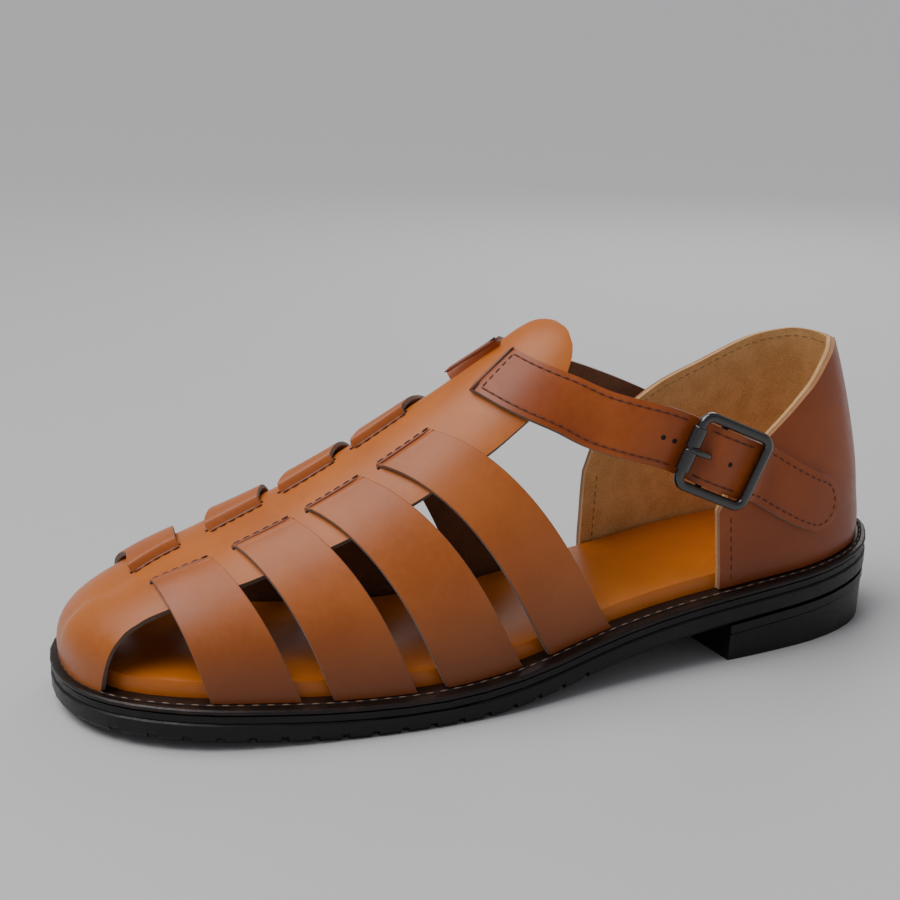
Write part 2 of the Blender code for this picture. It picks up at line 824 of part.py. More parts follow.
def slit_cutter(look):
    """The strap's own shape where it crosses the tongue, with clearance all round."""
    points, normals = ankle_path()
    place, facing, at = smooth_path(points, normals, STRAP_STEP)
    first = len(TAB_LINE) + len(FREE_MEDIAL)
    inside = []
    for index in (first - 1, first + len(THREAD_LINE)):
        inside.append(int(np.argmin(np.linalg.norm(place - points[index], axis=1))))
    half = np.full(len(at), ANKLE_WIDTH / 2 + ANKLE_CLEARANCE)
    low, high = -1.25 * ANKLE_CLEARANCE, LEATHER + 1.25 * ANKLE_CLEARANCE
    return ribbon("tongue_slits", place, facing, low, high, half, look, slice(inside[0], inside[1] + 1))


def rod(name, path, radius, look, sides=8, tips=None):
    """A round wire along a path, with flat ends."""
    path = np.array(path, float)
    along = np.gradient(path, axis=0)
    along /= np.linalg.norm(along, axis=1, keepdims=True)
    guide = np.array([0.31, 0.21, 0.93])
    radii = np.full(len(path), radius) if tips is None else np.array(tips) * radius
    loops = []
    for point, forward, size in zip(path, along, radii):
        right = np.cross(forward, guide)
        right /= np.linalg.norm(right)
        up = np.cross(right, forward)
        angles = np.arange(sides) * 2 * math.pi / sides
        loops.append(point + size * (np.cos(angles)[:, None] * right + np.sin(angles)[:, None] * up))
    return tube(name, loops, look)


def cut(target, cutter):
    hole = target.modifiers.new(cutter.name, "BOOLEAN")
    hole.operation = "DIFFERENCE"
    hole.solver = "EXACT"
    hole.object = cutter
    cutter.hide_render = True
    cutter.display_type = "WIRE"


def build_buckle_frame(look):
    """A rounded wire frame, joined to the dropped centre bar that carries it."""
    axes = buckle_axes()
    flat_along, flat_across = BAR_REACH - BUCKLE_CORNER, FRAME_REACH - BUCKLE_CORNER
    loops = []
    for corner, (sign_along, sign_across) in enumerate(((1, 1), (-1, 1), (-1, -1), (1, -1))):
        for step in range(5):
            angle = math.radians(corner * 90 + step * 22.5)
            centre = in_buckle(
                sign_along * flat_along + BUCKLE_CORNER * math.cos(angle),
                0.0,
                sign_across * flat_across + BUCKLE_CORNER * math.sin(angle),
            )
            out = axes[0] * math.cos(angle) + axes[2] * math.sin(angle)
            turns = np.arange(8) * math.pi / 4
            ring = np.cos(turns)[:, None] * out + np.sin(turns)[:, None] * axes[1]
            loops.append(centre + ring * WIRE / 2)
    frame = tube("buckle_frame", loops, look, closed=True)
    bar = [
        in_buckle(CENTRE_BAR_SHIFT, out, across)
        for across, out in (
            (-FRAME_REACH, -0.3), (-FRAME_REACH + 1.9, -CENTRE_BAR_DROP),
            (0.0, -CENTRE_BAR_DROP), (FRAME_REACH - 1.9, -CENTRE_BAR_DROP), (FRAME_REACH, -0.3),
        )
    ]
    union(frame, [rod("centre_bar", bar, CENTRE_BAR / 2, look)])
    return frame


def build_roller(look):
    """A sleeve that turns on the toe-side bar."""
    axes = buckle_axes()
    angles = np.arange(12) * math.pi / 6
    ring = np.cos(angles)[:, None] * axes[0] + np.sin(angles)[:, None] * axes[1]
    half = ROLLER_LENGTH / 2
    bore = WIRE / 2 + GAP
    loops = [
        in_buckle(-BAR_REACH, 0.0, across) + ring * radius
        for across, radius in ((-half, bore), (-half, ROLLER_RADIUS), (half, ROLLER_RADIUS), (half, bore))
    ]
    return tube("buckle_roller", loops, look, closed=True)


def build_prong(look):
    """The pin: up through the strap's hole beside the centre bar, then over to the roller."""
    foot = CENTRE_BAR_SHIFT - CENTRE_BAR / 2 - GAP - PRONG / 2
    rest = ROLLER_RADIUS + GAP + PRONG / 2
    path = [
        in_buckle(along, out)
        for along, out in (
            (foot, -CENTRE_BAR_DROP - 0.3), (foot, -0.4), (foot - 0.3, 1.4), (foot - 1.6, 2.7),
            (foot - 3.6, rest - 0.4), (-BAR_REACH, rest), (-BAR_REACH - 1.6, rest - 0.5),
        )
    ]
    return rod("buckle_prong", path, PRONG / 2, look, tips=(1, 1, 1, 1, 1, 0.92, 0.7))


def build_tab(look):
    """Leather tab: sewn on the counter, under the heel bar, hooked round the centre bar."""
    points, normals = [], []
    for turn, share, extra in TAB_LINE[:-1]:
        height = share * COUNTER_HEIGHT
        normal = counter_normal(LATERAL, turn, height)
        points.append(counter_wall(LATERAL, turn, height) + normal * (ANKLE_CLEARANCE + extra))
        normals.append(normal)
    outward, along_axis = buckle_axes()[1], buckle_axes()[0]
    under_strap = -WIRE / 2 - LEATHER - 2 * GAP - TAB_LEATHER
    hook = CENTRE_BAR / 2 + GAP + TAB_LEATHER
    for along in (BAR_REACH, BAR_REACH - 6.0):
        points.append(in_buckle(along, under_strap))
        normals.append(outward)
    for degrees in (-80, -100, -120, -138):
        angle = math.radians(degrees)
        spoke = math.cos(angle) * along_axis + math.sin(angle) * outward
        points.append(in_buckle(CENTRE_BAR_SHIFT, -CENTRE_BAR_DROP) + spoke * hook)
        normals.append(-spoke)
    place, facing, at = smooth_path(np.array(points), np.array(normals), 1.6)
    half = round_tab(at, ANKLE_WIDTH / 2)
    return ribbon("buckle_tab", place, facing, 0.0, TAB_LEATHER, half, look)


def main():
    for old in list(bpy.data.objects):
        bpy.data.objects.remove(old)
    tan = material("tan leather", (0.46, 0.115, 0.022), 0.42)
    footbed = material("insole leather", (0.55, 0.14, 0.015), 0.3)
    black = material("black rubber", (0.012, 0.011, 0.011), 0.5)
    edge = material("black welt", (0.02, 0.014, 0.012), 0.45)
    metal = material("black metal", (0.02, 0.02, 0.022), 0.25, 0.9)

    build_outsole(black)
    build_heel(black)
    build_midsole(edge)
    build_welt(edge)
    build_insole(footbed)
    upper = build_cap(tan)
    straps = [
        build_strap(f"{name}_{'lateral' if side == LATERAL else 'medial'}", side, stations, tan)
        for name, stations in CROSS_STRAPS.items()
        for side in (LATERAL, MEDIAL)
    ]
    union(upper, straps)
    cut(upper, slit_cutter(tan))
    settle(upper, tan)
    build_counter(tan)
    build_ankle_strap(tan)
    build_tab(tan)
    build_buckle_frame(metal)
    build_roller(metal)
    build_prong(metal)


main()
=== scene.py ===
# %% [markdown]
# # A left fisherman sandal
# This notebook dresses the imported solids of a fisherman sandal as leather, rubber
# and black metal. The rubber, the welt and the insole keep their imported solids.
# The leather pieces and the buckle are made again here, finer, on the same shape
# functions that the solids come from, so that they lie where the solids lie.

# %% Load the frame
import math

import bmesh
import bpy
import numpy as np
from mathutils import Matrix, Vector


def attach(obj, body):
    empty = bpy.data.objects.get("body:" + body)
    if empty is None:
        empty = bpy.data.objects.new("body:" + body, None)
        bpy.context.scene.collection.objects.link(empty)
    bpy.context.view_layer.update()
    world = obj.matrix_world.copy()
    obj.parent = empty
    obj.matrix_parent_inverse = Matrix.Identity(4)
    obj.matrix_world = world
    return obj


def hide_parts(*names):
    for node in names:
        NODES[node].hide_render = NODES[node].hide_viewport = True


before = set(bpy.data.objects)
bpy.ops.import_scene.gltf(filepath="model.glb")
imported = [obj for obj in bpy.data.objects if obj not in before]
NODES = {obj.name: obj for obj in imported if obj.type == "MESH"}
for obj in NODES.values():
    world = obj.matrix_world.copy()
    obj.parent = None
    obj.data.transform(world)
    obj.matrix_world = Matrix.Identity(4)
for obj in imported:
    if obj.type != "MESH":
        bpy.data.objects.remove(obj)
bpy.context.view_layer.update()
print("packed pieces:", ", ".join(sorted(NODES)))

# %% [markdown]
# ## Sizes
# Lengths are in millimetres until a mesh is written. A "turn" goes from 0 at the
# back of the heel to 1 at the tip of the toe, a "station" is the share of the
# length from the heel, and a "climb" goes from 0 at the sole to 1 at the crest of
# the instep.

# %% Sizes
MM = 0.001
LATERAL = -1
MEDIAL = 1

# Driving sizes, in millimetres
LENGTH = 288.0
BALL_WIDTH = 104.0
TOE_SWING = 21.0
HEEL_LIFT = 18.4
TOE_SPRING = 3.4
INSTEP_HEIGHT = 110.0
WELT_LEDGE = 6.0
WELT_THICK = 1.8
MIDSOLE_THICK = 2.1
OUTSOLE_THICK = 6.1
GAP = 0.3
LEATHER = 2.0
STRAP_OVERLAP = 0.4
COUNTER_WALL = 2.8
COUNTER_HEIGHT = 69.0
COUNTER_LEAN = 9.5
ANKLE_WIDTH = 19.5
ANKLE_CLEARANCE = 0.4
TAB_LEATHER = 1.8
WIRE = 3.3
BUCKLE_LENGTH = 22.0
BUCKLE_CORNER = 3.2
CENTRE_BAR = 2.4
CENTRE_BAR_SHIFT = -3.5
CENTRE_BAR_DROP = 2.6
PRONG = 2.1
ROLLER_WALL = 0.5
ROLLER_LENGTH = 15.0
HOLE = 1.3
HOLES = (-22.0, -17.5, 2.5)

SOLE = WELT_THICK + MIDSOLE_THICK + OUTSOLE_THICK + 2 * GAP
print("length", LENGTH, "mm, strap leather", LEATHER, "mm")

# %% [markdown]
# ## Tables of the shape
# Each table has a few given rows, as shares of the sizes above. A smooth
# curve through the rows gives every value between them.

# %% Tables of the shape
# Outline of the sole: turn, then half widths as shares of the ball width
OUTLINE = np.array([
    # turn, lateral, medial
    (0.00, 0.000, 0.000),
    (0.08, 0.120, 0.135),
    (0.16, 0.255, 0.245),
    (0.24, 0.335, 0.310),
    (0.32, 0.360, 0.325),
    (0.40, 0.370, 0.303),
    (0.47, 0.405, 0.285),
    (0.54, 0.460, 0.310),
    (0.60, 0.478, 0.365),
    (0.66, 0.470, 0.415),
    (0.72, 0.452, 0.443),
    (0.78, 0.415, 0.435),
    (0.84, 0.342, 0.378),
    (0.90, 0.238, 0.272),
    (0.95, 0.128, 0.145),
    (1.00, 0.000, 0.000),
])

# Side view of the sole: station, share of the heel lift, share of the toe spring
PROFILE = np.array([
    # station, heel, toe
    (0.00, 1.000, 0.00),
    (0.12, 0.850, 0.00),
    (0.27, 0.705, 0.00),
    (0.40, 0.470, 0.00),
    (0.52, 0.130, 0.00),
    (0.60, 0.000, 0.00),
    (0.73, 0.000, 0.00),
    (0.84, 0.000, 0.62),
    (0.93, 0.000, 0.96),
    (1.00, 0.000, 0.94),
])

# Crest of the instep: station, shift to the medial side and height
CREST = np.array([
    # station, share of the ball width, share of the instep height
    (0.400, 0.115, 1.005),
    (0.430, 0.120, 0.990),
    (0.450, 0.123, 0.968),
    (0.475, 0.129, 0.928),
    (0.530, 0.140, 0.830),
    (0.588, 0.154, 0.740),
    (0.645, 0.167, 0.653),
    (0.729, 0.181, 0.541),
    (0.813, 0.188, 0.451),
    (0.900, 0.187, 0.366),
    (0.935, 0.182, 0.313),
])

# Ledge of the welt outside the upper: turn, share of the welt ledge
LEDGE = np.array([
    (0.00, 0.42),
    (0.15, 0.67),
    (0.35, 1.00),
    (0.75, 1.00),
    (0.90, 0.75),
    (1.00, 0.80),
])

# Fullness of the arch across the last, 1 for an ellipse and less for a fuller arch
FULLNESS = np.array([
    # turn, lateral width, lateral height, medial width, medial height
    (0.00, 1.00, 1.00, 0.80, 0.80),
    (0.60, 1.00, 1.00, 0.80, 0.80),
    (0.71, 0.95, 0.95, 0.80, 0.80),
    (0.82, 0.85, 0.80, 1.00, 1.05),
    (1.00, 0.85, 0.66, 0.96, 1.08),
])
BULGE = 1.5

# Edge of the toe cap, the spine and the tongue tab: turn, then the climb of each
# edge. A medial climb above 1 lies that far down the lateral side of the crest.
CAP_EDGE = np.array([
    # turn, lateral, medial
    (0.4470, 0.835, 1.130),
    (0.4485, 0.785, 1.085),
    (0.4520, 0.735, 1.040),
    (0.4580, 0.690, 0.980),
    (0.4650, 0.650, 0.900),
    (0.4750, 0.630, 0.830),
    (0.4850, 0.620, 0.750),
    (0.5100, 0.610, 0.640),
    (0.6000, 0.600, 0.600),
    (0.7000, 0.600, 0.600),
    (0.7700, 0.580, 0.580),
    (0.8100, 0.555, 0.555),
    (0.8450, 0.500, 0.500),
    (0.8720, 0.400, 0.400),
    (0.8900, 0.240, 0.240),
    (0.8990, 0.080, 0.080),
    (0.9030, 0.000, 0.000),
])

# Cross straps: stations of the front and rear edge at the slit and at the feather line,
# and how much further forward the medial slit lies
CROSS_STRAPS = {
    # name: slit front, slit rear, foot front, foot rear, medial shift
    "strap_1": (0.922, 0.845, 0.880, 0.788, 0.022),
    "strap_2": (0.814, 0.747, 0.754, 0.664, 0.011),
    "strap_3": (0.728, 0.666, 0.630, 0.537, 0.007),
    "strap_4": (0.645, 0.584, 0.502, 0.421, 0.005),
}
SPINE_EDGE = 0.60
SLIT_CLIMB = {LATERAL: 0.81, MEDIAL: 0.965}
STRAP_BOW = 0.9

# Top line of the counter: turn, share of the counter height
COUNTER_LATERAL = np.array([
    (0.000, 0.97),
    (0.060, 0.985),
    (0.120, 0.975),
    (0.180, 0.930),
    (0.216, 0.865),
    (0.250, 0.800),
    (0.276, 0.735),
    (0.306, 0.640),
    (0.335, 0.505),
    (0.352, 0.380),
])
COUNTER_MEDIAL = np.array([
    (0.000, 0.97),
    (0.075, 1.00),
    (0.178, 1.035),
    (0.238, 1.015),
    (0.301, 0.92),
    (0.356, 0.81),
    (0.385, 0.69),
    (0.399, 0.57),
    (0.404, 0.45),
])

# Lean of the counter: share of the counter height, share of the counter lean
LEAN = np.array([
    (0.00, 0.00),
    (0.09, 0.00),
    (0.20, 0.08),
    (0.35, 0.18),
    (0.60, 0.50),
    (0.85, 0.93),
    (1.05, 1.36),
])

# Ankle strap on the counter: turn, share of the counter height, extra lift
TAB_LINE = np.array([
    (0.205, 0.255, 0.0),
    (0.250, 0.335, 0.0),
    (0.285, 0.435, 0.2),
    (0.310, 0.520, 0.7),
    (0.335, 0.600, 2.2),
])

# Ankle strap across the tongue: side, station, climb, whether it runs over the tongue
THREAD_LINE = (
    (MEDIAL, 0.457, 0.57, True),
    (MEDIAL, 0.467, 0.64, True),
    (MEDIAL, 0.477, 0.71, True),
    (MEDIAL, 0.487, 0.78, True),
    (MEDIAL, 0.496, 0.86, True),
    (MEDIAL, 0.503, 0.94, True),
    (LATERAL, 0.506, 0.99, False),
    (LATERAL, 0.504, 0.93, False),
    (LATERAL, 0.500, 0.85, True),
    (LATERAL, 0.494, 0.79, True),
    (LATERAL, 0.486, 0.73, True),
    (LATERAL, 0.469, 0.648, True),
    (LATERAL, 0.451, 0.583, True),
)

# Ankle strap between the tongue and the counter, on the inner face of the leather:
# station, share of the ball width, share of the instep height
FREE_MEDIAL = ((0.400, 0.272, 0.772),)
FREE_LATERAL = ((0.425, -0.205, 0.772), (0.392, -0.258, 0.742))

# Middle of the buckle: station, share of the ball width, share of the instep height
BUCKLE_PLACE = (0.2927, -0.361, 0.638)
BUCKLE_SLOPE = 25.0
BUCKLE_YAW = 8.3
print("cross straps:", ", ".join(CROSS_STRAPS))

# %% [markdown]
# ## Curves, sole and last
# The last is the foot-shaped form that a shoemaker pulls the leather over. Here it
# is a function: ask it for a turn and a climb, and it answers with a point, lifted
# off the form by the thickness of what lies below.

# %% Curves
def curve(table, column, at):
    """A smooth curve through the rows of a table."""
    places, values = table[:, 0], table[:, column]
    at = np.clip(np.asarray(at, float), places[0], places[-1])
    steps = np.diff(places)
    slopes = np.diff(values) / steps
    tangents = np.empty(len(values))
    tangents[0], tangents[-1] = slopes[0], slopes[-1]
    tangents[1:-1] = (slopes[:-1] * steps[1:] + slopes[1:] * steps[:-1]) / (steps[:-1] + steps[1:])
    row = np.clip(np.searchsorted(places, at, side="right") - 1, 0, len(places) - 2)
    share = (at - places[row]) / steps[row]
    square, cube = share**2, share**3
    return (
        (2 * cube - 3 * square + 1) * values[row]
        + (cube - 2 * square + share) * steps[row] * tangents[row]
        + (3 * square - 2 * cube) * values[row + 1]
        + (cube - square) * steps[row] * tangents[row + 1]
    )


def line(table, column, at):
    """Straight runs through the rows of a table."""
    return np.interp(at, table[:, 0], table[:, column])


def unit(vectors):
    """Vectors of the same directions, each one long."""
    return vectors / np.linalg.norm(vectors, axis=-1, keepdims=True)


def run_of(points):
    """Distance along a path at each of its points."""
    return np.concatenate([[0], np.cumsum(np.linalg.norm(np.diff(points, axis=0), axis=1))])


def along_path(at, places, values):
    """Values between the points of a path, such as a place or a direction."""
    return np.stack([np.interp(at, places, values[:, axis]) for axis in range(3)], -1)


def station_of(turn):
    """The share of the length from the heel, for a turn."""
    return 0.5 - 0.5 * np.cos(np.pi * np.asarray(turn, float))


def turn_of(station):
    """The turn, for a share of the length from the heel."""
    return np.arccos(1 - 2 * np.asarray(station, float)) / np.pi


print("the middle of the sole is at station", float(station_of(0.5)))

# %% [markdown]
# The plan of the sole is the outline's table, swung a little to the medial side at
# the toe. An inset moves a point inwards, square to the edge.

# %% The sole's outline
def outline(side, turn, inset=0.0):
    """Plan of the sole's edge, moved inwards by an inset along its own normal."""
    turn = np.asarray(turn, float)

    def edge(place):
        station = station_of(place)
        swing = TOE_SWING * np.clip((station - 0.2) / 0.8, 0, 1) ** 1.7
        half = curve(OUTLINE, 1 if side == LATERAL else 2, place) * BALL_WIDTH
        return np.stack([LENGTH * (0.5 - station), side * half + swing], -1)

    small = 1e-4
    along = edge(np.clip(turn + small, 0, 1)) - edge(np.clip(turn - small, 0, 1))
    along = unit(along)
    outward = side * np.stack([along[..., 1], -along[..., 0]], -1)
    at_heel, at_toe = (turn <= 1e-6)[..., None], (turn >= 1 - 1e-6)[..., None]
    outward = np.where(at_heel, [1.0, 0.0], np.where(at_toe, [-1.0, 0.0], outward))
    return edge(turn) - outward * np.asarray(inset, float)[..., None]


def middle_of_width():
    """Where the middle of the sole's width lies, which becomes the model's own middle."""
    turns = np.linspace(0, 1, 400)
    return (outline(LATERAL, turns)[:, 1].min() + outline(MEDIAL, turns)[:, 1].max()) / 2


def welt_top(station):
    """Height of the welt's upper face above the ground."""
    return SOLE + HEEL_LIFT * curve(PROFILE, 1, station) + TOE_SPRING * curve(PROFILE, 2, station)


MIDDLE = np.array([0.0, middle_of_width(), 0.0])


print("middle of the width at y", round(float(MIDDLE[1]), 2), "mm")

# %% [markdown]
# The crest is the highest line along the foot. Arches fan out from it, down to the
# upper's edge on the welt, and together they are the last.

# %% The last
def ledge(turn):
    """Width of the welt outside the upper."""
    return WELT_LEDGE * curve(LEDGE, 1, turn)


def crest(station):
    """The highest line along the last, from the instep to the toe."""
    return np.stack([
        LENGTH * (0.5 - station),
        BALL_WIDTH * curve(CREST, 1, station),
        INSTEP_HEIGHT * curve(CREST, 2, station),
    ], -1)


def crest_station(turn):
    """Sections fan out round the toe, so the crest ends short of the tip."""
    station = station_of(turn)
    return np.where(station > 0.75, station - 1.04 * (station - 0.75) ** 2, station)


def bare_last(side, turn, climb):
    """A point on the last itself: an arch from the sole's edge up to the crest."""
    foot = outline(side, turn, ledge(turn))
    foot_height = welt_top(station_of(turn)) + GAP
    top = crest(crest_station(turn))
    first = 1 if side == LATERAL else 3
    angle = climb * math.pi / 2
    width = np.cos(angle) ** line(FULLNESS, first, turn)
    height = np.sin(angle) ** line(FULLNESS, first + 1, turn)
    out = foot - top[..., :2]
    bulge = BULGE * np.sin(math.pi * np.clip(climb / 0.6, 0, 1)) ** 2
    plan = top[..., :2] + out * width[..., None] + unit(out) * bulge[..., None]
    rise = foot_height + (top[..., 2] - foot_height) * height
    return np.concatenate([plan, rise[..., None]], -1)


def last_normal(side, turn, climb):
    """Direction straight out of the last."""
    small = 1e-3
    low = np.clip(climb, 0.004, 0.985)
    before, after = np.clip(turn - small, 0, 1), np.clip(turn + small, 0, 1)
    forward = bare_last(side, after, low) - bare_last(side, before, low)
    upward = bare_last(side, turn, low + small) - bare_last(side, turn, low - small)
    return unit(np.cross(forward, upward) * side)


def last(side, turn, climb, lift):
    """A point on the last, lifted off it along its normal."""
    turn, climb, lift = np.broadcast_arrays(*(np.asarray(v, float) for v in (turn, climb, lift)))
    normal = last_normal(side, turn, climb)
    near = np.clip((climb - 0.93) / 0.07, 0, 1)[..., None]
    other = last_normal(-side, turn, climb)
    normal = normal * (1 - 0.5 * near) + other * 0.5 * near
    seam = np.clip((turn - 0.97) / 0.03, 0, 1)[..., None]
    normal = normal * (1 - 0.5 * seam) + other * 0.5 * seam
    return bare_last(side, turn, climb) + unit(normal) * lift[..., None]


print("crest at the ball:", crest(0.6).round(1), "mm")

# %% [markdown]
# The counter stands on the welt round the heel and leans inwards as it rises.

# %% The wall of the counter
def counter_wall(side, turn, height, lift=0.0):
    """A point on the outer face of the counter, lifted off it."""
    turn, height, lift = np.broadcast_arrays(*(np.asarray(v, float) for v in (turn, height, lift)))
    lean = COUNTER_LEAN * curve(LEAN, 1, height / COUNTER_HEIGHT)
    plan = outline(side, turn, ledge(turn) + lean - lift)
    rise = welt_top(station_of(turn)) + GAP + height
    return np.concatenate([plan, rise[..., None]], -1)


def counter_normal(side, turn, height):
    """Direction straight out of the counter's outer face."""
    forward = counter_wall(side, turn + 0.003, height) - counter_wall(side, turn - 0.003, height)
    upward = counter_wall(side, turn, height + 1) - counter_wall(side, turn, height - 1)
    normal = np.cross(forward, upward) * side
    return normal / np.linalg.norm(normal)


def over_crest(turn, across, lift):
    """A point on the last by its way across: 0 to 1 up the lateral side, 1 to 2 down the medial side."""
    lateral = last(LATERAL, turn, np.clip(across, 0, 1), lift)
    medial = last(MEDIAL, turn, np.clip(2 - across, 0, 1), lift)
    return np.where(across[:, None] <= 1, lateral, medial)


print("top of the counter at the heel:", counter_wall(LATERAL, 0.0, COUNTER_HEIGHT).round(1), "mm")

# %% [markdown]
# ## The way of the ankle strap
# The ankle strap starts on the inner side of the counter, threads the tongue
# through two slits, and ends in the buckle on the outer side. A short list of
# places and directions is smoothed into one path.

# %% Smooth paths
def smooth_path(points, normals, step):
    """Evenly spaced points of a smooth curve through the given ones, with their normals."""
    chord = run_of(points)
    table = np.concatenate([chord[:, None], points, normals], 1)
    count = max(2, int(round(chord[-1] / step)) + 1)
    at = np.linspace(0, chord[-1], count)
    place = np.stack([curve(table, c, at) for c in (1, 2, 3)], -1)
    facing = np.stack([curve(table, c, at) for c in (4, 5, 6)], -1)
    return place, unit(facing), at


def round_tab(distance, half):
    """Half width of a strap that ends in a half circle, at a distance from its tip."""
    inside = np.clip(1 - distance / half, 0, 1)
    return half * np.maximum(np.sqrt(1 - inside**2), 0.25)


def place_of(station, side_share, height_share):
    return np.array([
        LENGTH * (0.5 - station), BALL_WIDTH * side_share, INSTEP_HEIGHT * height_share,
    ])


print("a strap end is", round(float(round_tab(0.0, ANKLE_WIDTH / 2)), 2), "mm half wide at its tip")

# %% [markdown]
# The buckle has three axes of its own, so that its wires and the strap through it
# can be given by their distances from its middle.

# %% The buckle's own axes
def buckle_axes():
    """Axes of the buckle: along the strap to the heel, outwards, and across."""
    slope, yaw = math.radians(BUCKLE_SLOPE), math.radians(BUCKLE_YAW)
    outward = np.array([-math.sin(yaw), -math.cos(yaw), 0.0])
    level = np.array([math.cos(yaw), -math.sin(yaw), 0.0])
    along = level * math.cos(slope) + np.array([0, 0, -math.sin(slope)])
    return along, outward, np.cross(outward, along)


def in_buckle(along, outward, across=0.0):
    """A point given by its distances from the middle of the buckle."""
    axes = buckle_axes()
    return place_of(*BUCKLE_PLACE) + along * axes[0] + outward * axes[1] + across * axes[2]


BAR_REACH = (BUCKLE_LENGTH + WIRE) / 2
FRAME_REACH = (ANKLE_WIDTH + 1.0 + WIRE) / 2
ROLLER_RADIUS = WIRE / 2 + GAP + ROLLER_WALL


def strap_in_buckle():
    """The strap's inner face: under the roller, over the centre bar, under the heel bar."""
    under_roller = -ROLLER_RADIUS - GAP - LEATHER
    over_centre = -CENTRE_BAR_DROP + CENTRE_BAR / 2 + GAP
    under_heel_bar = -WIRE / 2 - GAP - LEATHER
    return [
        (-BAR_REACH - 6.0, under_roller),
        (-BAR_REACH, under_roller),
        (-BAR_REACH + 3.0, under_roller + 0.6),
        (CENTRE_BAR_SHIFT, over_centre),
        (CENTRE_BAR_SHIFT + 4.0, over_centre),
        (BAR_REACH - 3.5, under_heel_bar + 0.4),
        (BAR_REACH, under_heel_bar),
        (BAR_REACH + 1.2, under_heel_bar),
    ]


print("buckle frame reaches", BAR_REACH, "mm along the strap and", FRAME_REACH, "mm across")

# %% [markdown]
# The path is put together from three lists: on the counter, through the tongue, and
# in the buckle. Each place has a direction out of the leather.

# %% The path of the ankle strap
def counter_run(side, rows):
    """Places and directions of a strap that lies on the counter."""
    for turn, share, extra in rows:
        height = share * COUNTER_HEIGHT
        normal = counter_normal(side, turn, height)
        yield counter_wall(side, turn, height) + normal * (ANKLE_CLEARANCE + extra), normal


def ankle_path():
    """Control points of the strap's inner face from its sewn medial end to the buckle."""
    points, normals = [], []

    def add(point, normal):
        points.append(point)
        normals.append(normal / np.linalg.norm(normal))

    for point, normal in counter_run(MEDIAL, TAB_LINE):
        add(point, normal)
    for station, side_share, height_share in FREE_MEDIAL:
        add(place_of(station, side_share, height_share), np.array([0.0, 1.0, 0.12]))
    top = last_normal(LATERAL, turn_of(0.5), np.array(1.0))
    for side, station, climb, over in THREAD_LINE:
        turn = turn_of(station)
        lift = (LEATHER + 1.5 * ANKLE_CLEARANCE) * (1 if over else -1)
        here = last(side, turn, climb, lift)
        add(here, top if climb > 0.82 else last(side, turn, climb, lift + 1) - here)
    for station, side_share, height_share in FREE_LATERAL:
        add(place_of(station, side_share, height_share), np.array([-0.12, -1.0, 0.30]))
    outward = buckle_axes()[1]
    for along, out in strap_in_buckle():
        add(in_buckle(along, out), outward)
    return np.array(points), np.array(normals)


print("ankle strap path has", len(ankle_path()[0]), "places")

# %% [markdown]
# ## Finishes
# A shared effect is a node group, so that it is set up once. The grain group gives
# a leather its fine pores and its slow change of colour, and the shader that uses
# it stays outside the group.

# %% Node tools
def new_group(name, inputs, outputs):
    """An empty node group with float inputs and named outputs."""
    group = bpy.data.node_groups.new(name, "ShaderNodeTree")
    for label, value in inputs.items():
        socket = group.interface.new_socket(name=label, in_out="INPUT", socket_type="NodeSocketFloat")
        socket.default_value = value
    for label, kind in outputs.items():
        group.interface.new_socket(name=label, in_out="OUTPUT", socket_type=kind)
    return group, group.nodes.new("NodeGroupInput"), group.nodes.new("NodeGroupOutput")


def object_place(tree):
    """Coordinates of the object itself, so that a pattern moves with its piece."""
    return tree.nodes.new("ShaderNodeTexCoord").outputs["Object"]


def noise(group, scale, detail, coordinates):
    node = group.nodes.new("ShaderNodeTexNoise")
    node.inputs["Scale"].default_value = scale
    node.inputs["Detail"].default_value = detail
    group.links.new(coordinates, node.inputs["Vector"])
    return node.outputs["Fac"]


def map_range(group, value, low, high, to_low, to_high):
    node = group.nodes.new("ShaderNodeMapRange")
    node.interpolation_type = "SMOOTHSTEP"
    labels = ("From Min", "From Max", "To Min", "To Max")
    for label, number in zip(labels, (low, high, to_low, to_high)):
        node.inputs[label].default_value = number
    group.links.new(value, node.inputs["Value"])
    return node.outputs["Result"]


def math_node(group, operation, first, second):
    node = group.nodes.new("ShaderNodeMath")
    node.operation = operation
    for socket, value in zip(node.inputs, (first, second)):
        if isinstance(value, float):
            socket.default_value = value
        else:
            group.links.new(value, socket)
    return node.outputs["Value"]


def bump_node(group, height, strength, distance):
    node = group.nodes.new("ShaderNodeBump")
    node.inputs["Distance"].default_value = distance
    group.links.new(height, node.inputs["Height"])
    if isinstance(strength, float):
        node.inputs["Strength"].default_value = strength
    else:
        group.links.new(strength, node.inputs["Strength"])
    return node.outputs["Normal"]


print("node tools ready")

# %% [markdown]
# Smooth leather has fine pores and a slow change of its dye. Suede has short fibres,
# which show as a fine fuzz with soft clouds in it.

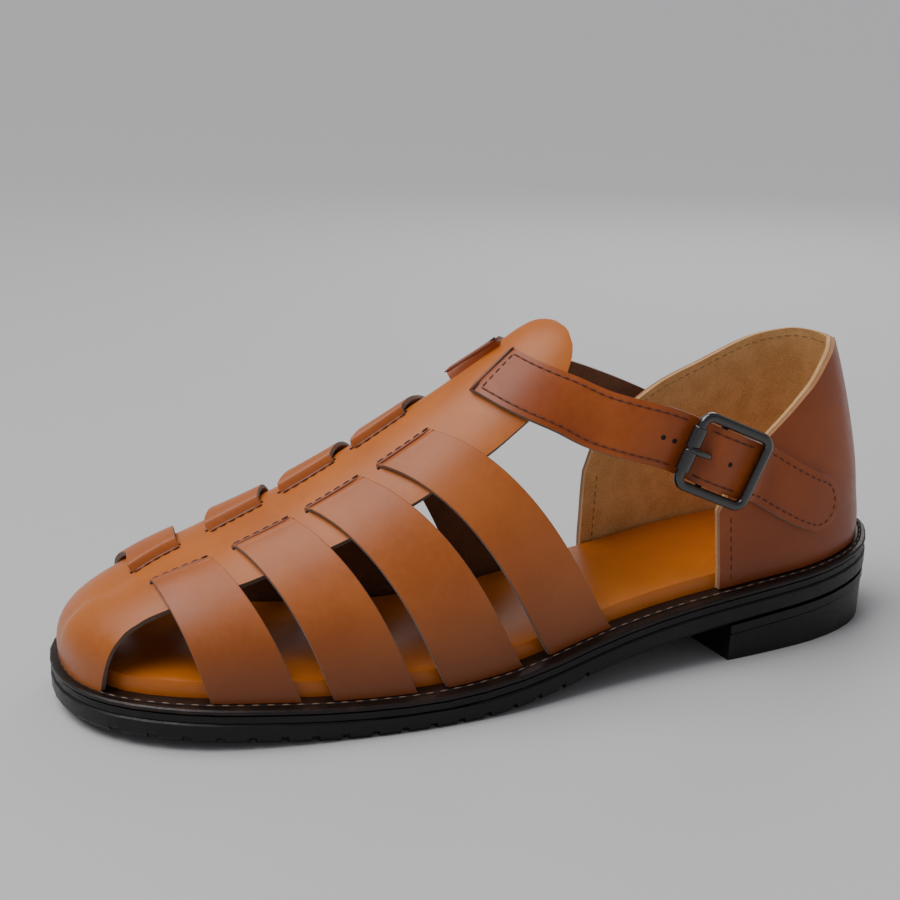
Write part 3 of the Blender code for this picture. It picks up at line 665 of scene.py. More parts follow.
# %% Shared effects
def make_grain_group():
    """Pores and creases of smooth leather, with the slow change of its dye."""
    group, given, wanted = new_group(
        "leather grain",
        {"Grain": 0.2},
        {"Tone": "NodeSocketFloat", "Gloss": "NodeSocketFloat", "Normal": "NodeSocketVector"},
    )
    place = object_place(group)
    cloud = noise(group, 28.0, 3.0, place)
    mottle = noise(group, 420.0, 4.0, place)
    pores = group.nodes.new("ShaderNodeTexVoronoi")
    pores.inputs["Scale"].default_value = 1500.0
    group.links.new(place, pores.inputs["Vector"])
    height = math_node(group, "MULTIPLY_ADD", pores.outputs["Distance"], 0.7)
    group.links.new(mottle, height.node.inputs[2])
    slow = map_range(group, cloud, 0.25, 0.75, -0.55, 0.55)
    fast = map_range(group, mottle, 0.3, 0.7, -0.1, 0.1)
    tone = math_node(group, "ADD", slow, fast)
    group.links.new(tone, wanted.inputs["Tone"])
    group.links.new(map_range(group, mottle, 0.3, 0.7, -0.04, 0.05), wanted.inputs["Gloss"])
    group.links.new(bump_node(group, height, given.outputs["Grain"], 0.00012), wanted.inputs["Normal"])
    return group


def make_nap_group():
    """Short raised fibres of suede: soft clouds and a fine fuzz."""
    group, given, wanted = new_group(
        "suede nap",
        {"Depth": 0.6},
        {"Tone": "NodeSocketFloat", "Normal": "NodeSocketVector"},
    )
    place = object_place(group)
    patch = noise(group, 160.0, 6.0, place)
    fuzz = noise(group, 2600.0, 3.0, place)
    slow = map_range(group, patch, 0.25, 0.75, -0.4, 0.4)
    fast = map_range(group, fuzz, 0.3, 0.7, -0.6, 0.6)
    tone = math_node(group, "ADD", slow, fast)
    height = math_node(group, "MULTIPLY_ADD", patch, 0.5)
    group.links.new(fuzz, height.node.inputs[2])
    group.links.new(tone, wanted.inputs["Tone"])
    group.links.new(bump_node(group, height, given.outputs["Depth"], 0.0003), wanted.inputs["Normal"])
    return group


GRAIN = make_grain_group()
NAP = make_nap_group()
print("shared effects:", GRAIN.name, "and", NAP.name)

# %% [markdown]
# A finish is a Principled shader with its own numbers. Where a colour changes over
# the piece, a ramp reads the tone that the shared group gives, and the height above
# the ground mixes in painted shade, darker near the sole, where shade falls by the welt.

# %% Finishes
def finish(name, **numbers):
    """A named material and its shader, with plain numbers set on its sockets."""
    made = bpy.data.materials.new(name)
    made.use_nodes = True
    shader = made.node_tree.nodes["Principled BSDF"]
    for label, value in numbers.items():
        shader.inputs[label.replace("_", " ")].default_value = value
    return made, made.node_tree, shader


def ramp(tree, value, stops):
    node = tree.nodes.new("ShaderNodeValToRGB")
    while len(node.color_ramp.elements) < len(stops):
        node.color_ramp.elements.new(1.0)
    for element, (place, colour) in zip(node.color_ramp.elements, stops):
        element.position = place
        element.color = (*colour, 1.0)
    tree.links.new(value, node.inputs["Fac"])
    return node.outputs["Color"]


def mix_colour(tree, share, first, second, kind="MIX"):
    node = tree.nodes.new("ShaderNodeMix")
    node.data_type = "RGBA"
    node.blend_type = kind
    sockets = [i for i in node.inputs if i.type == "RGBA"]
    for socket, value in zip(sockets, (first, second)):
        if isinstance(value, tuple):
            socket.default_value = (*value, 1.0)
        else:
            tree.links.new(value, socket)
    if isinstance(share, float):
        node.inputs[0].default_value = share
    else:
        tree.links.new(share, node.inputs[0])
    return next(o for o in node.outputs if o.type == "RGBA")


def use_group(tree, group, **numbers):
    node = tree.nodes.new("ShaderNodeGroup")
    node.node_tree = group
    for label, value in numbers.items():
        node.inputs[label].default_value = value
    return node


# Painted shade near the sole: its colour, and the heights above the ground in metres over which it fades
PAINTED_SOLE_SHADE = (0.075, 0.016, 0.004)
PAINTED_SOLE_SHADE_HEIGHTS = (0.012, 0.050)


def make_leather(name, dark, middle, light, low, grain=0.22, roughness=0.4, coat=0.12):
    """Smooth dyed leather, with painted shade darkening it towards the sole."""
    made, tree, shader = finish(name, Coat_Weight=coat, Coat_Roughness=0.3, Specular_IOR_Level=0.35)
    effect = use_group(tree, GRAIN, Grain=grain)
    shade = map_range(tree, effect.outputs["Tone"], -0.6, 0.6, 0.0, 1.0)
    colour = ramp(tree, shade, ((0.0, dark), (0.5, middle), (1.0, light)))
    # Painted shade: the colour is mixed towards a dark brown near the ground, where shade falls by the welt.
    axis = tree.nodes.new("ShaderNodeSeparateXYZ")
    tree.links.new(object_place(tree), axis.inputs["Vector"])
    height = map_range(tree, axis.outputs["Z"], *PAINTED_SOLE_SHADE_HEIGHTS, low, 0.0)
    tree.links.new(mix_colour(tree, height, colour, PAINTED_SOLE_SHADE), shader.inputs["Base Color"])
    gloss = math_node(tree, "ADD", effect.outputs["Gloss"], roughness)
    tree.links.new(gloss, shader.inputs["Roughness"])
    tree.links.new(effect.outputs["Normal"], shader.inputs["Normal"])
    return made


def make_suede(name, dark, light, depth=0.7):
    """Matt napped leather, also used for the fibres of a cut edge."""
    made, tree, shader = finish(
        name, Roughness=0.92, Specular_IOR_Level=0.2, Sheen_Weight=0.25, Sheen_Roughness=0.6,
    )
    effect = use_group(tree, NAP, Depth=depth)
    shade = map_range(tree, effect.outputs["Tone"], -1.0, 1.0, 0.0, 1.0)
    tree.links.new(ramp(tree, shade, ((0.1, dark), (0.9, light))), shader.inputs["Base Color"])
    tree.links.new(effect.outputs["Normal"], shader.inputs["Normal"])
    return made


def make_rubber(name, colour, light, roughness, depth=0.25):
    """Black rubber or edge dye with faint streaks and a satin skin."""
    made, tree, shader = finish(name, Specular_IOR_Level=0.3)
    place = object_place(tree)
    cloud = noise(tree, 90.0, 5.0, place)
    fine = noise(tree, 900.0, 4.0, place)
    streaks = map_range(tree, cloud, 0.45, 0.75, 0.0, 1.0)
    tree.links.new(mix_colour(tree, streaks, colour, light), shader.inputs["Base Color"])
    skin = map_range(tree, fine, 0.3, 0.7, roughness - 0.06, roughness + 0.08)
    tree.links.new(skin, shader.inputs["Roughness"])
    tree.links.new(bump_node(tree, fine, depth, 0.00015), shader.inputs["Normal"])
    return made


print("finish tools ready")

# %% [markdown]
# The toe cap and the spine are a copy of the tan leather with painted light, the cross straps
# the plain tan, and the counter, the ankle strap and the buckle's tab a copy with painted shade.

# %% The finishes of this sandal
# Each leather: its name, three colours from dark to light, and how far painted shade darkens it at the sole
TAN = make_leather("tan leather", (0.37, 0.088, 0.013), (0.41, 0.102, 0.016), (0.45, 0.118, 0.020), 0.6)
# A lighter copy of the tan leather: painted light on the upward-facing toe cap and spine.
LIT_SPINE_TAN = make_leather(
    "tan spine leather with painted light", (0.44, 0.108, 0.011), (0.49, 0.125, 0.013), (0.53, 0.142, 0.017), 0.4,
)
# A darker copy of the tan leather: painted shade on the side-facing counter, ankle strap and tab.
SHADED_TAN = make_leather(
    "tan leather with painted shade", (0.27, 0.052, 0.006), (0.31, 0.062, 0.0075), (0.35, 0.075, 0.010), 0.6,
)
FOOTBED = make_leather(
    "insole leather", (0.48, 0.118, 0.006), (0.53, 0.135, 0.008), (0.58, 0.155, 0.010), 0.1,
    grain=0.03, roughness=0.36, coat=0.15,
)
RAW_EDGE = make_suede("raw cut edge", (0.075, 0.036, 0.020), (0.17, 0.09, 0.05), 0.8)
FLESH = make_suede("flesh side", (0.13, 0.052, 0.020), (0.19, 0.078, 0.030), 0.6)
LINING = make_suede("lining suede", (0.60, 0.35, 0.12), (0.82, 0.52, 0.22), 0.5)
LINING_EDGE = make_suede("lining edge", (0.52, 0.27, 0.10), (0.64, 0.36, 0.15), 0.3)
COLLAR_EDGE = make_suede("collar cut edge", (0.30, 0.125, 0.045), (0.40, 0.18, 0.07), 0.4)
RUBBER = make_rubber("black rubber", (0.004, 0.0035, 0.0035), (0.009, 0.008, 0.0075), 0.4)
EDGE_DYE = make_rubber("welt edge dye", (0.009, 0.005, 0.004), (0.030, 0.014, 0.009), 0.38, 0.4)
# The hole shadow finish is painted shadow, used for slits, punched holes and the welt's channel.
THREAD, PALE_THREAD, WELT_THREAD, LIP, PRESSED, PAINTED_SHADOW = (
    finish(name, Base_Color=(*colour, 1.0), Roughness=roughness)[0]
    for name, colour, roughness in (
        ("rust thread", (0.085, 0.016, 0.006), 0.55),
        ("pale thread", (0.34, 0.20, 0.10), 0.6),
        ("welt thread", (0.21, 0.125, 0.075), 0.65),
        ("burnished slit lip", (0.24, 0.066, 0.026), 0.5),
        ("pressed line", (0.20, 0.040, 0.007), 0.6),
        ("hole shadow", (0.012, 0.004, 0.002), 0.9),
    )
)
METAL, _, _ = finish(
    "black enamelled metal", Base_Color=(0.004, 0.004, 0.0045, 1.0), Roughness=0.18,
    Coat_Weight=1.0, Coat_Roughness=0.05,
)
print(len(bpy.data.materials), "finishes")

# %% [markdown]
# ## Sheets of leather
# A sheet starts as two flat grids. Each point of a grid is sent to its place by a
# function of how far along and across it is. The two grids become the grain side
# and the flesh side, and a strip of faces round the rim joins them. A small bevel
# then rounds the cut edge, as a maker's edge tool does.

# %% Sheets of leather
def link(name, data):
    """A new object that holds this data, in the scene."""
    made = bpy.data.objects.new(name, data)
    bpy.context.scene.collection.objects.link(made)
    return made


def placed(point):
    """A point of the shape functions in metres, measured from the model's own middle."""
    return Vector((point - MIDDLE) * MM)


def standing(point, direction):
    """The matrix that stands a ring or a cone on a point, with its axis along a direction."""
    turn = Vector(direction).to_track_quat("Z", "Y").to_matrix().to_4x4()
    return Matrix.Translation(placed(point)) @ turn


def place_object(name, work, looks, slot, replaced=()):
    """Links a bmesh as a smooth, named piece that rides on the shoe."""
    mesh = bpy.data.meshes.new(name)
    work.to_mesh(mesh)
    work.free()
    mesh.shade_smooth()
    for look in looks:
        mesh.materials.append(look)
    made = link(name, mesh)
    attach(made, "root")
    if replaced:
        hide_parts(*replaced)
    return made


def soften(made, width, segments=2, angle=38):
    """Rounds the sharp edges of a piece and keeps its large faces smooth."""
    bevel = made.modifiers.new("rounded edge", "BEVEL")
    bevel.width = width * MM
    bevel.segments = segments
    bevel.limit_method = "ANGLE"
    bevel.angle_limit = math.radians(angle)
    bevel.harden_normals = True
    return made


# Points further along than this are in the last row of a sheet. Points closer than WELDED
# metres are joined.
TIP_ROW = 0.9999
WELDED = 0.00001


def close_tip(work, layers):
    """Welds the last row of each layer to itself, side to side."""
    for verts, at in layers:
        in_order = sorted(zip(verts, at), key=lambda pair: pair[1][0])
        tip = [vert for vert, (_, along) in in_order if along > TIP_ROW]
        half = len(tip) // 2
        bmesh.ops.weld_verts(work, targetmap=dict(zip(reversed(tip[half + 1:]), tip[:half])))


def sheet(
    name, outer, inner, columns, rows, looks,
    slot="tan_leather", edge=0.45, closed_tip=False, replaced=(),
):
    """Two grids placed by functions of (across, along), joined round their rim."""
    work = bmesh.new()
    layers = []
    for number, place in enumerate((outer, inner)):
        verts = bmesh.ops.create_grid(work, x_segments=columns, y_segments=rows, size=1.0)["verts"]
        at = (np.array([vert.co[:2] for vert in verts]) + 1) / 2
        for vert, point in zip(verts, place(at[:, 0], at[:, 1])):
            vert.co = placed(point)
        for face in {face for vert in verts for face in vert.link_faces}:
            face.material_index = 2 * number
        layers.append((verts, at))
    if closed_tip:
        close_tip(work, layers)
    twin = dict(zip(layers[0][0], layers[1][0]))
    for edge_here in [e for e in work.edges if e.is_boundary and e.verts[0] in twin]:
        a, b = edge_here.verts
        work.faces.new((a, b, twin[b], twin[a])).material_index = 1
    bmesh.ops.remove_doubles(work, verts=work.verts, dist=WELDED)
    bmesh.ops.recalc_face_normals(work, faces=work.faces)
    return soften(place_object(name, work, looks, slot, replaced), edge)


LEATHER_LOOKS = (TAN, RAW_EDGE, FLESH)
SHADED_LOOKS = (SHADED_TAN, RAW_EDGE, FLESH)
print("a sheet carries", ", ".join(look.name for look in LEATHER_LOOKS))

# %% [markdown]
# ## Stitches
# One stitch is a small ball, drawn out along the seam and sunk a little at its
# ends. Every seam is a path with a direction out of the leather, and all stitches
# of a seam are one mesh.

# %% Stitches
def stitches(name, points, normals, pitch, look, length=0.72, width=0.55, slot="tan_leather"):
    """A row of stitches along a path of points, each with its normal."""
    points, normals = np.asarray(points), np.asarray(normals)
    chord = run_of(points)
    count = max(2, int(chord[-1] / pitch))
    centres = (np.arange(count) + 0.5) * chord[-1] / count
    half = 0.5 * length * chord[-1] / count
    work = bmesh.new()
    for centre in centres:
        here, before, after = (
            along_path(at, chord, points) for at in (centre, centre - half, centre + half)
        )
        up = Vector(along_path(centre, chord, normals)).normalized()
        along = Vector(after - before).normalized()
        side = up.cross(along).normalized()
        up = along.cross(side)
        turn = Matrix((along, side, up)).transposed().to_4x4()
        size = Matrix.Diagonal((half * MM, width / 2 * MM, width / 2 * MM, 1.0))
        spot = Matrix.Translation(placed(here))
        bmesh.ops.create_icosphere(work, subdivisions=2, radius=1.0, matrix=spot @ turn @ size)
    return place_object(name, work, (look,), slot)


# Thickness in millimetres of the ribbon that stands for a cut or a pressed line
GROOVE_WALL = 0.1


def groove(name, points, normals, width, look):
    """A thin ribbon just above the leather, for a cut, where it is painted shadow, and for a pressed line.
    """
    work = bmesh.new()
    along = np.gradient(np.asarray(points), axis=0)
    side = unit(np.cross(normals, along))
    verts = bmesh.ops.create_grid(work, x_segments=2, y_segments=len(points) - 1, size=1.0)["verts"]
    for vert in verts:
        row = int(round((vert.co.y + 1) / 2 * (len(points) - 1)))
        point = points[row] + side[row] * vert.co.x * width / 2
        vert.co = placed(point)
    bmesh.ops.recalc_face_normals(work, faces=work.faces)
    bmesh.ops.solidify(work, geom=work.faces, thickness=GROOVE_WALL * MM)
    bmesh.ops.recalc_face_normals(work, faces=work.faces)
    return place_object(name, work, (look,), "tan_leather")


print("seam tools ready")

# %% [markdown]
# ## Toe cap, spine and tongue
# The toe cap, the spine along the foot and the tongue are one piece of leather. Its
# edge follows the table of the cap's edge, so it narrows from the cap to the spine.

# %% Toe cap, spine and tongue
# Turns between which the piece lies, and the columns and rows of its grid
CAP_TURNS = (float(CAP_EDGE[0, 0]), 1.0)
CAP_GRID = (72, 260)

# The toe is blended in front of this turn. The blend grows over TOE_FADE turns, and over
# RIM_FADE of the width from each edge. It reaches TOE_BLEND millimetres.
TOE_START = 0.72
TOE_FADE = 0.10
RIM_FADE = 0.15
TOE_BLEND = 2.4
# How many points are averaged at a time, to spare memory
CHUNK = 400


def neighbourhood(points, reach):
    """Each point's average with its neighbours, whose weight falls off with distance."""
    size = (points**2).sum(1)
    out = np.empty_like(points)
    for first in range(0, len(points), CHUNK):
        some = points[first:first + CHUNK]
        apart = (some**2).sum(1)[:, None] + size - 2 * some @ points.T
        weight = np.exp(-apart / (2 * reach**2))
        out[first:first + CHUNK] = weight @ points / weight.sum(1)[:, None]
    return out


def cap_place(lift):
    """Places the grid of the cap, the spine and the tongue at a lift off the last."""
    def place(across, along):
        turn = CAP_TURNS[0] + (CAP_TURNS[1] - CAP_TURNS[0]) * along
        first = curve(CAP_EDGE, 1, turn).clip(0, 1) * (turn < CAP_EDGE[-1, 0])
        end = 2 - curve(CAP_EDGE, 2, turn).clip(0, 1.2) * (turn < CAP_EDGE[-1, 0])
        points = over_crest(turn, first + (end - first) * across, lift)
        mirrored = over_crest(turn, first + (end - first) * (1 - across), lift)
        points = np.where(along[:, None] > TIP_ROW, (points + mirrored) / 2, points)
        toe = turn > TOE_START
        inside = np.minimum(across, 1 - across)[toe]
        share = np.clip((turn[toe] - TOE_START) / TOE_FADE, 0, 1) * np.clip(inside / RIM_FADE, 0, 1)
        points[toe] += share[:, None] * (neighbourhood(points[toe], TOE_BLEND) - points[toe])
        return points
    return place


cap = sheet(
    "toe_cap_and_tongue", cap_place(LEATHER), cap_place(0.0), *CAP_GRID,
    (LIT_SPINE_TAN, RAW_EDGE, FLESH), closed_tip=True, replaced=("upper",),
)
print("toe cap and tongue:", len(cap.data.polygons), "faces")

# %% [markdown]
# ## Cross straps
# Each cross strap rises from the sole, bends over the edge of the spine and dives
# into its slit. The slit's far lip is a low swelling with a row of stitches.

# %% Shape of a cross strap
# How far the front and rear edges of an inner strap lean to the toe at most, as stations,
# the climb where that starts and how late it comes
CREST_LEAN = (3.0 / LENGTH, 1.0 / LENGTH)
LEAN_START = 0.1
LEAN_POWER = 2.6

# Climbs of the lifts further down: three on the way up, then four counted from the slit
RISE_CLIMBS = (0.0, SPINE_EDGE - 0.3, SPINE_EDGE - 0.02)
DIVE_CLIMBS = (-0.04, -0.012, 0.004, 0.02)

# Columns and rows of the grid, and the ways along it that lie at the sole, at the edge of
# the spine, before the bend and past the slit
STRAP_GRID = (28, 84)
STRAP_WAYS = (0.0, 0.6, 0.85, 1.0)


def strap_place(side, stations, lifts):
    """Places the grid of a cross strap by its four stations and its lifts off the last."""
    slit_front, slit_rear, foot_front, foot_rear, medial_shift = stations
    shift = medial_shift if side == MEDIAL else 0.0
    slit = SLIT_CLIMB[side]
    bend = [*RISE_CLIMBS, *(slit + step for step in DIVE_CLIMBS)]
    profile = np.stack([np.array(bend), np.array(lifts)], -1)
    lean = CREST_LEAN if side == MEDIAL else (0.0, 0.0)

    def place(across, along):
        climb = np.interp(along, STRAP_WAYS, (0.0, SPINE_EDGE, slit - 0.05, slit + 0.02))
        share = np.minimum(climb / slit, 1.0) ** STRAP_BOW
        front = foot_front + (slit_front + shift - foot_front) * share
        rear = foot_rear + (slit_rear + shift - foot_rear) * share
        way_up = np.clip((climb - LEAN_START) / (slit - LEAN_START), 0, 1)
        swing = np.sin(np.pi * way_up**LEAN_POWER) ** 2
        front, rear = front - lean[0] * swing, rear - lean[1] * swing
        turn = turn_of(front + (rear - front) * across)
        return last(side, turn, climb, curve(profile, 1, climb))
    return place


# Lifts of a strap's two faces in millimetres. OVER is that of a strap that lies on the spine.
OVER = 2 * LEATHER - STRAP_OVERLAP + 0.3
UPPER_LIFTS = {
    LATERAL: (LEATHER, LEATHER, OVER, OVER, OVER - 0.2, LEATHER + 0.7, LEATHER - 1.0),
    MEDIAL: (LEATHER, LEATHER, OVER + 0.3, OVER + 0.7, OVER + 0.5, LEATHER + 0.9, LEATHER - 1.0),
}
LOWER_LIFTS = {
    LATERAL: (0.0, 0.05, LEATHER + 0.1, LEATHER + 0.1, LEATHER - 0.2, 0.6, 0.0),
    MEDIAL: (0.0, 0.05, LEATHER + 0.4, LEATHER + 0.8, LEATHER + 0.5, 0.7, 0.0),
}


print("a cross strap lies", OVER, "mm off the last where it crosses the spine")

# %% [markdown]
# The lip of a slit is a low ridge with rounded ends. On the outer side of the shoe it
# runs on round the front corner of its strap.

# %% Lips and slit lines
def swelling(name, points, radius, look):
    """A low rounded ridge along a path, thinner at both ends."""
    work = bmesh.new()
    rings = []
    last_row = len(points) - 1
    for row, point in enumerate(points):
        taper = min(1.0, 0.25 + 6 * min(row, last_row - row) / last_row)
        ahead = points[min(row + 1, last_row)] - points[max(row - 1, 0)]
        ring = bmesh.ops.create_circle(
            work, segments=10, radius=radius * taper * MM, matrix=standing(point, ahead),
        )
        rings.append(ring["verts"])
    for low, high in zip(rings, rings[1:]):
        pair = set(low) | set(high)
        edges = [edge for edge in work.edges if pair.issuperset(edge.verts)]
        loops = [edge for edge in edges if (edge.verts[0] in low) == (edge.verts[1] in low)]
        bmesh.ops.bridge_loops(work, edges=loops)
    bmesh.ops.holes_fill(work, edges=work.edges, sides=0)
    bmesh.ops.recalc_face_normals(work, faces=work.faces)
    if work.calc_volume(signed=True) < 0:
        bmesh.ops.reverse_faces(work, faces=work.faces)
    return place_object(name, work, (look,), "tan_leather")


def corner_line(side, stations, climb, lift, depth=0.13, count=16):
    """The slit's line carried on down the front edge of its strap."""
    slit_front, slit_rear, foot_front, foot_rear, _ = stations
    points, normals = slit_line(side, stations, climb, lift, margin=0.001)
    falls = np.linspace(climb - 0.012, climb - depth, count)
    share = np.minimum(falls / SLIT_CLIMB[side], 1.0) ** STRAP_BOW
    edge = foot_front + (slit_front - foot_front) * share - 0.0025
    down = last(side, turn_of(edge), falls, lift)
    out = last(side, turn_of(edge), falls, lift + 1.0) - down
    return np.concatenate([down[::-1], points]), np.concatenate([out[::-1], normals])


def slit_line(side, stations, climb, lift, count=40, margin=0.0):
    """Points along a slit, and the directions out of the leather there."""
    slit_front, slit_rear, _, _, medial_shift = stations
    shift = medial_shift if side == MEDIAL else 0.0
    spots = turn_of(np.linspace(slit_front + shift + margin, slit_rear + shift - margin, count))
    points = last(side, spots, climb, lift)
    normals = last(side, spots, climb, lift + 1.0) - points
    return points, normals


print("slit tools ready")

# %% [markdown]
# Every strap gets its slit line of painted shadow, its lip and its row of stitches. The loop
# makes the outer strap and the inner strap of each pair.

# %% The eight cross straps
# Climbs past the slit where its line of painted shadow, its lip and its stitches lie, and the
# last climb before the crest
CUT_CLIMB, LIP_CLIMB, SEAM_CLIMB = 0.002, 0.021, 0.03
NEAR_CREST = 0.999

for name, stations in CROSS_STRAPS.items():
    for side, word in ((LATERAL, "outer"), (MEDIAL, "inner")):
        upper, lower = (strap_place(side, stations, lifts[side]) for lifts in (UPPER_LIFTS, LOWER_LIFTS))
        sheet(f"{name}_{word}", upper, lower, *STRAP_GRID, LEATHER_LOOKS)
        slit = SLIT_CLIMB[side]
        points, normals = slit_line(side, stations, slit + CUT_CLIMB, LEATHER + 0.05, margin=0.003)
        groove(f"{name}_{word}_slit", points, normals, 1.1, PAINTED_SHADOW)
        line_of = corner_line if side == LATERAL else slit_line
        points, normals = line_of(side, stations, min(slit + LIP_CLIMB, NEAR_CREST), LEATHER - 0.05)
        swelling(f"{name}_{word}_lip", points, 0.62, LIP)
        climb = min(slit + SEAM_CLIMB, NEAR_CREST)
        points, normals = slit_line(side, stations, climb, LEATHER + 0.3, margin=0.001)
        stitches(f"{name}_{word}_stitches", points, normals, 3.1, THREAD, width=0.6)
print("cross straps made:", 2 * len(CROSS_STRAPS))

# %% [markdown]
# ## Heel counter
# The counter is a shell of tan leather with a suede lining inside. The lining's
# top edge shows as a pale band round the collar.

# %% Heel counter
# The way round the heel counts turns: below 0 on the medial side, above 0 on the lateral side
COUNTER_ENDS = (-float(COUNTER_MEDIAL[-1, 0]), float(COUNTER_LATERAL[-1, 0]))
COUNTER_GRID = (40, 150)


def counter_place(lift, extra=0.0):
    """Places a grid on the counter at a lift off its outer face, raised by an extra height."""
    def place(across, along):
        way = COUNTER_ENDS[0] + (COUNTER_ENDS[1] - COUNTER_ENDS[0]) * along
        turn = np.abs(way)
        inner, outer = (curve(table, 1, turn) for table in (COUNTER_MEDIAL, COUNTER_LATERAL))
        height = COUNTER_HEIGHT * np.where(way < 0, inner, outer) * across + extra * across
        medial, lateral = (counter_wall(side, turn, height, lift) for side in (MEDIAL, LATERAL))
        return np.where((way < 0)[:, None], medial, lateral)
    return place


# Thickness of the outer leather in millimetres
SHELL = 1.5
sheet(
    "counter_shell", counter_place(0.0), counter_place(-SHELL), *COUNTER_GRID,
    (SHADED_TAN, COLLAR_EDGE, FLESH), edge=0.4, replaced=("counter",),
)
sheet(
    "counter_lining", counter_place(-SHELL - 0.02, 0.35), counter_place(-COUNTER_WALL, 0.35), *COUNTER_GRID,
    (LINING, LINING_EDGE, LINING), edge=0.45,
)


def counter_seam(down, lift, start=0.0, end=1.0, count=260):
    """A line at a distance below the collar, on one face of the counter."""
    along = np.linspace(start, end, count)
    way = COUNTER_ENDS[0] + (COUNTER_ENDS[1] - COUNTER_ENDS[0]) * along
    points, normals = [], []
    for place in way:
        side, table = (MEDIAL, COUNTER_MEDIAL) if place < 0 else (LATERAL, COUNTER_LATERAL)
        height = COUNTER_HEIGHT * float(curve(table, 1, abs(place))) - down
        points.append(counter_wall(side, abs(place), height, lift))
        normals.append(counter_wall(side, abs(place), height, lift + 1) - points[-1])
    return np.array(points), np.array(normals)


print("counter shell is", SHELL, "mm and its lining", round(COUNTER_WALL - SHELL, 2), "mm")

# %% [markdown]
# One seam runs along the collar on the lining. Two short seams close each front
# edge, one on each face.

# %% Seams of the counter
# The collar's seam lies this far below it. The seams of the front edges keep clear of both
# ends by FRONT_CLEAR millimetres and of the edge by FRONT_INSET turns.
COLLAR_DROP = 2.6
FRONT_CLEAR = 2.0
FRONT_INSET = 0.011
FRONT_POINTS = 30

points, normals = counter_seam(COLLAR_DROP, -COUNTER_WALL, 0.03, 0.97)
stitches("collar_stitches", points, -normals, 3.0, PALE_THREAD, width=0.5)
for side, word, table in ((LATERAL, "outer", COUNTER_LATERAL), (MEDIAL, "inner", COUNTER_MEDIAL)):
    turn, top = table[-1]
    heights = np.linspace(FRONT_CLEAR, COUNTER_HEIGHT * top - FRONT_CLEAR, FRONT_POINTS)
    inset = np.full(FRONT_POINTS, turn - FRONT_INSET)
    points, above, inside = (counter_wall(side, inset, heights, lift) for lift in (0.0, 1.0, -COUNTER_WALL))
    stitches(f"counter_front_{word}", points, above - points, 3.0, THREAD, width=0.5)
    stitches(f"lining_front_{word}", inside, inside - points, 3.0, PALE_THREAD, width=0.5)
print("counter reaches", round(COUNTER_HEIGHT), "mm above the welt")

# %% [markdown]
# ## Ankle strap and buckle tab
# Both follow the paths worked out above. The strap is stitched along both edges
# and has punched holes for the buckle's pin.

# %% Strip tools
def relaxed(values, passes):
    """Values along a path, each averaged with its neighbours again and again."""
    for _ in range(passes):
        padded = np.concatenate([values[:1], values, values[-1:]])
        values = (padded[:-2] + padded[1:-1] + padded[2:]) / 3
    return values


def across_of(place, facing, passes=40):
    """Sideways direction at each point of a path, smoothed along it."""
    return unit(relaxed(unit(np.cross(facing, np.gradient(place, axis=0))), passes))


def strip_place(place, facing, across, half, lift, crown=0.0):
    """Places a grid along a path, lifted off it, with a crown along its middle."""
    rows = np.linspace(0, 1, len(place))

    def where(sideways, along):
        shift = 2 * sideways - 1
        reach = np.interp(along, rows, half)
        rise = lift + crown * (1 - np.abs(shift) ** 4)
        middle, beside, out = (along_path(along, rows, values) for values in (place, across, facing))
        return middle + beside * (shift * reach)[:, None] + out * rise[:, None]
    return where


print("strip tools ready")

# %% [markdown]
# The path is relaxed on the inner side of the foot, where the strap hangs free, so
# that its twist runs out gently. The sheet is then laid along it.

# %% Ankle strap
# Distance between the rows of a path in millimetres, and the two slits of the tongue: side,
# station, climb
PATH_STEP = 0.8
TONGUE_SLITS = ((MEDIAL, 0.5045, 0.965), (LATERAL, 0.502, 0.89))

points, normals = ankle_path()
strap_line, strap_out, strap_at = smooth_path(points, normals, PATH_STEP)
slit_middles = [
    last(side, turn_of(station), climb, LEATHER) for side, station, climb in TONGUE_SLITS
]


def nearest(point):
    return int(np.argmin(np.linalg.norm(strap_line - point, axis=1)))


inner_slit, outer_slit = (nearest(point) for point in slit_middles)
# The inner side is relaxed by so many passes. It starts CALM_CLEAR rows before the slit and
# takes CALM_ROWS rows to grow.
LINE_PASSES, OUT_PASSES, SIDE_PASSES = 70, 260, 400
CALM_CLEAR, CALM_ROWS = 4, 14

calm = np.clip((inner_slit - CALM_CLEAR - np.arange(len(strap_line))) / CALM_ROWS, 0, 1)[:, None]
strap_line = strap_line * (1 - calm) + relaxed(strap_line, LINE_PASSES) * calm
strap_out = unit(strap_out * (1 - calm) + relaxed(strap_out, OUT_PASSES) * calm)
tight, loose = across_of(strap_line, strap_out), across_of(strap_line, strap_out, SIDE_PASSES)
strap_side = unit(tight * (1 - calm) + loose * calm)
strap_half = round_tab(strap_at, ANKLE_WIDTH / 2)
sheet(
    "ankle_strap_leather",
    strip_place(strap_line, strap_out, strap_side, strap_half, LEATHER - 0.25, 0.3),
    strip_place(strap_line, strap_out, strap_side, strap_half, 0.0),
    16, 420, SHADED_LOOKS, edge=0.5, replaced=("ankle_strap",),
)


print("ankle strap sheet has", len(strap_line), "rows in its path")

# %% [markdown]
# Two seams run along the strap in each stretch that shows. A hem crosses it beside
# each slit of the tongue, and a lip marks where it dives under.

# %% Seams and hems of the ankle strap
# Distance of a seam from the edge of the strap in millimetres
STITCH_INSET = 2.0
seam_reach = ANKLE_WIDTH / 2 - STITCH_INSET
buckle_start = nearest(in_buckle(-BAR_REACH - 2.5, 0.0))
buckle_end = nearest(in_buckle(BAR_REACH - 2.6, 0.0))
inner_stop = nearest(in_buckle(-BAR_REACH + 3.4, 0.0))
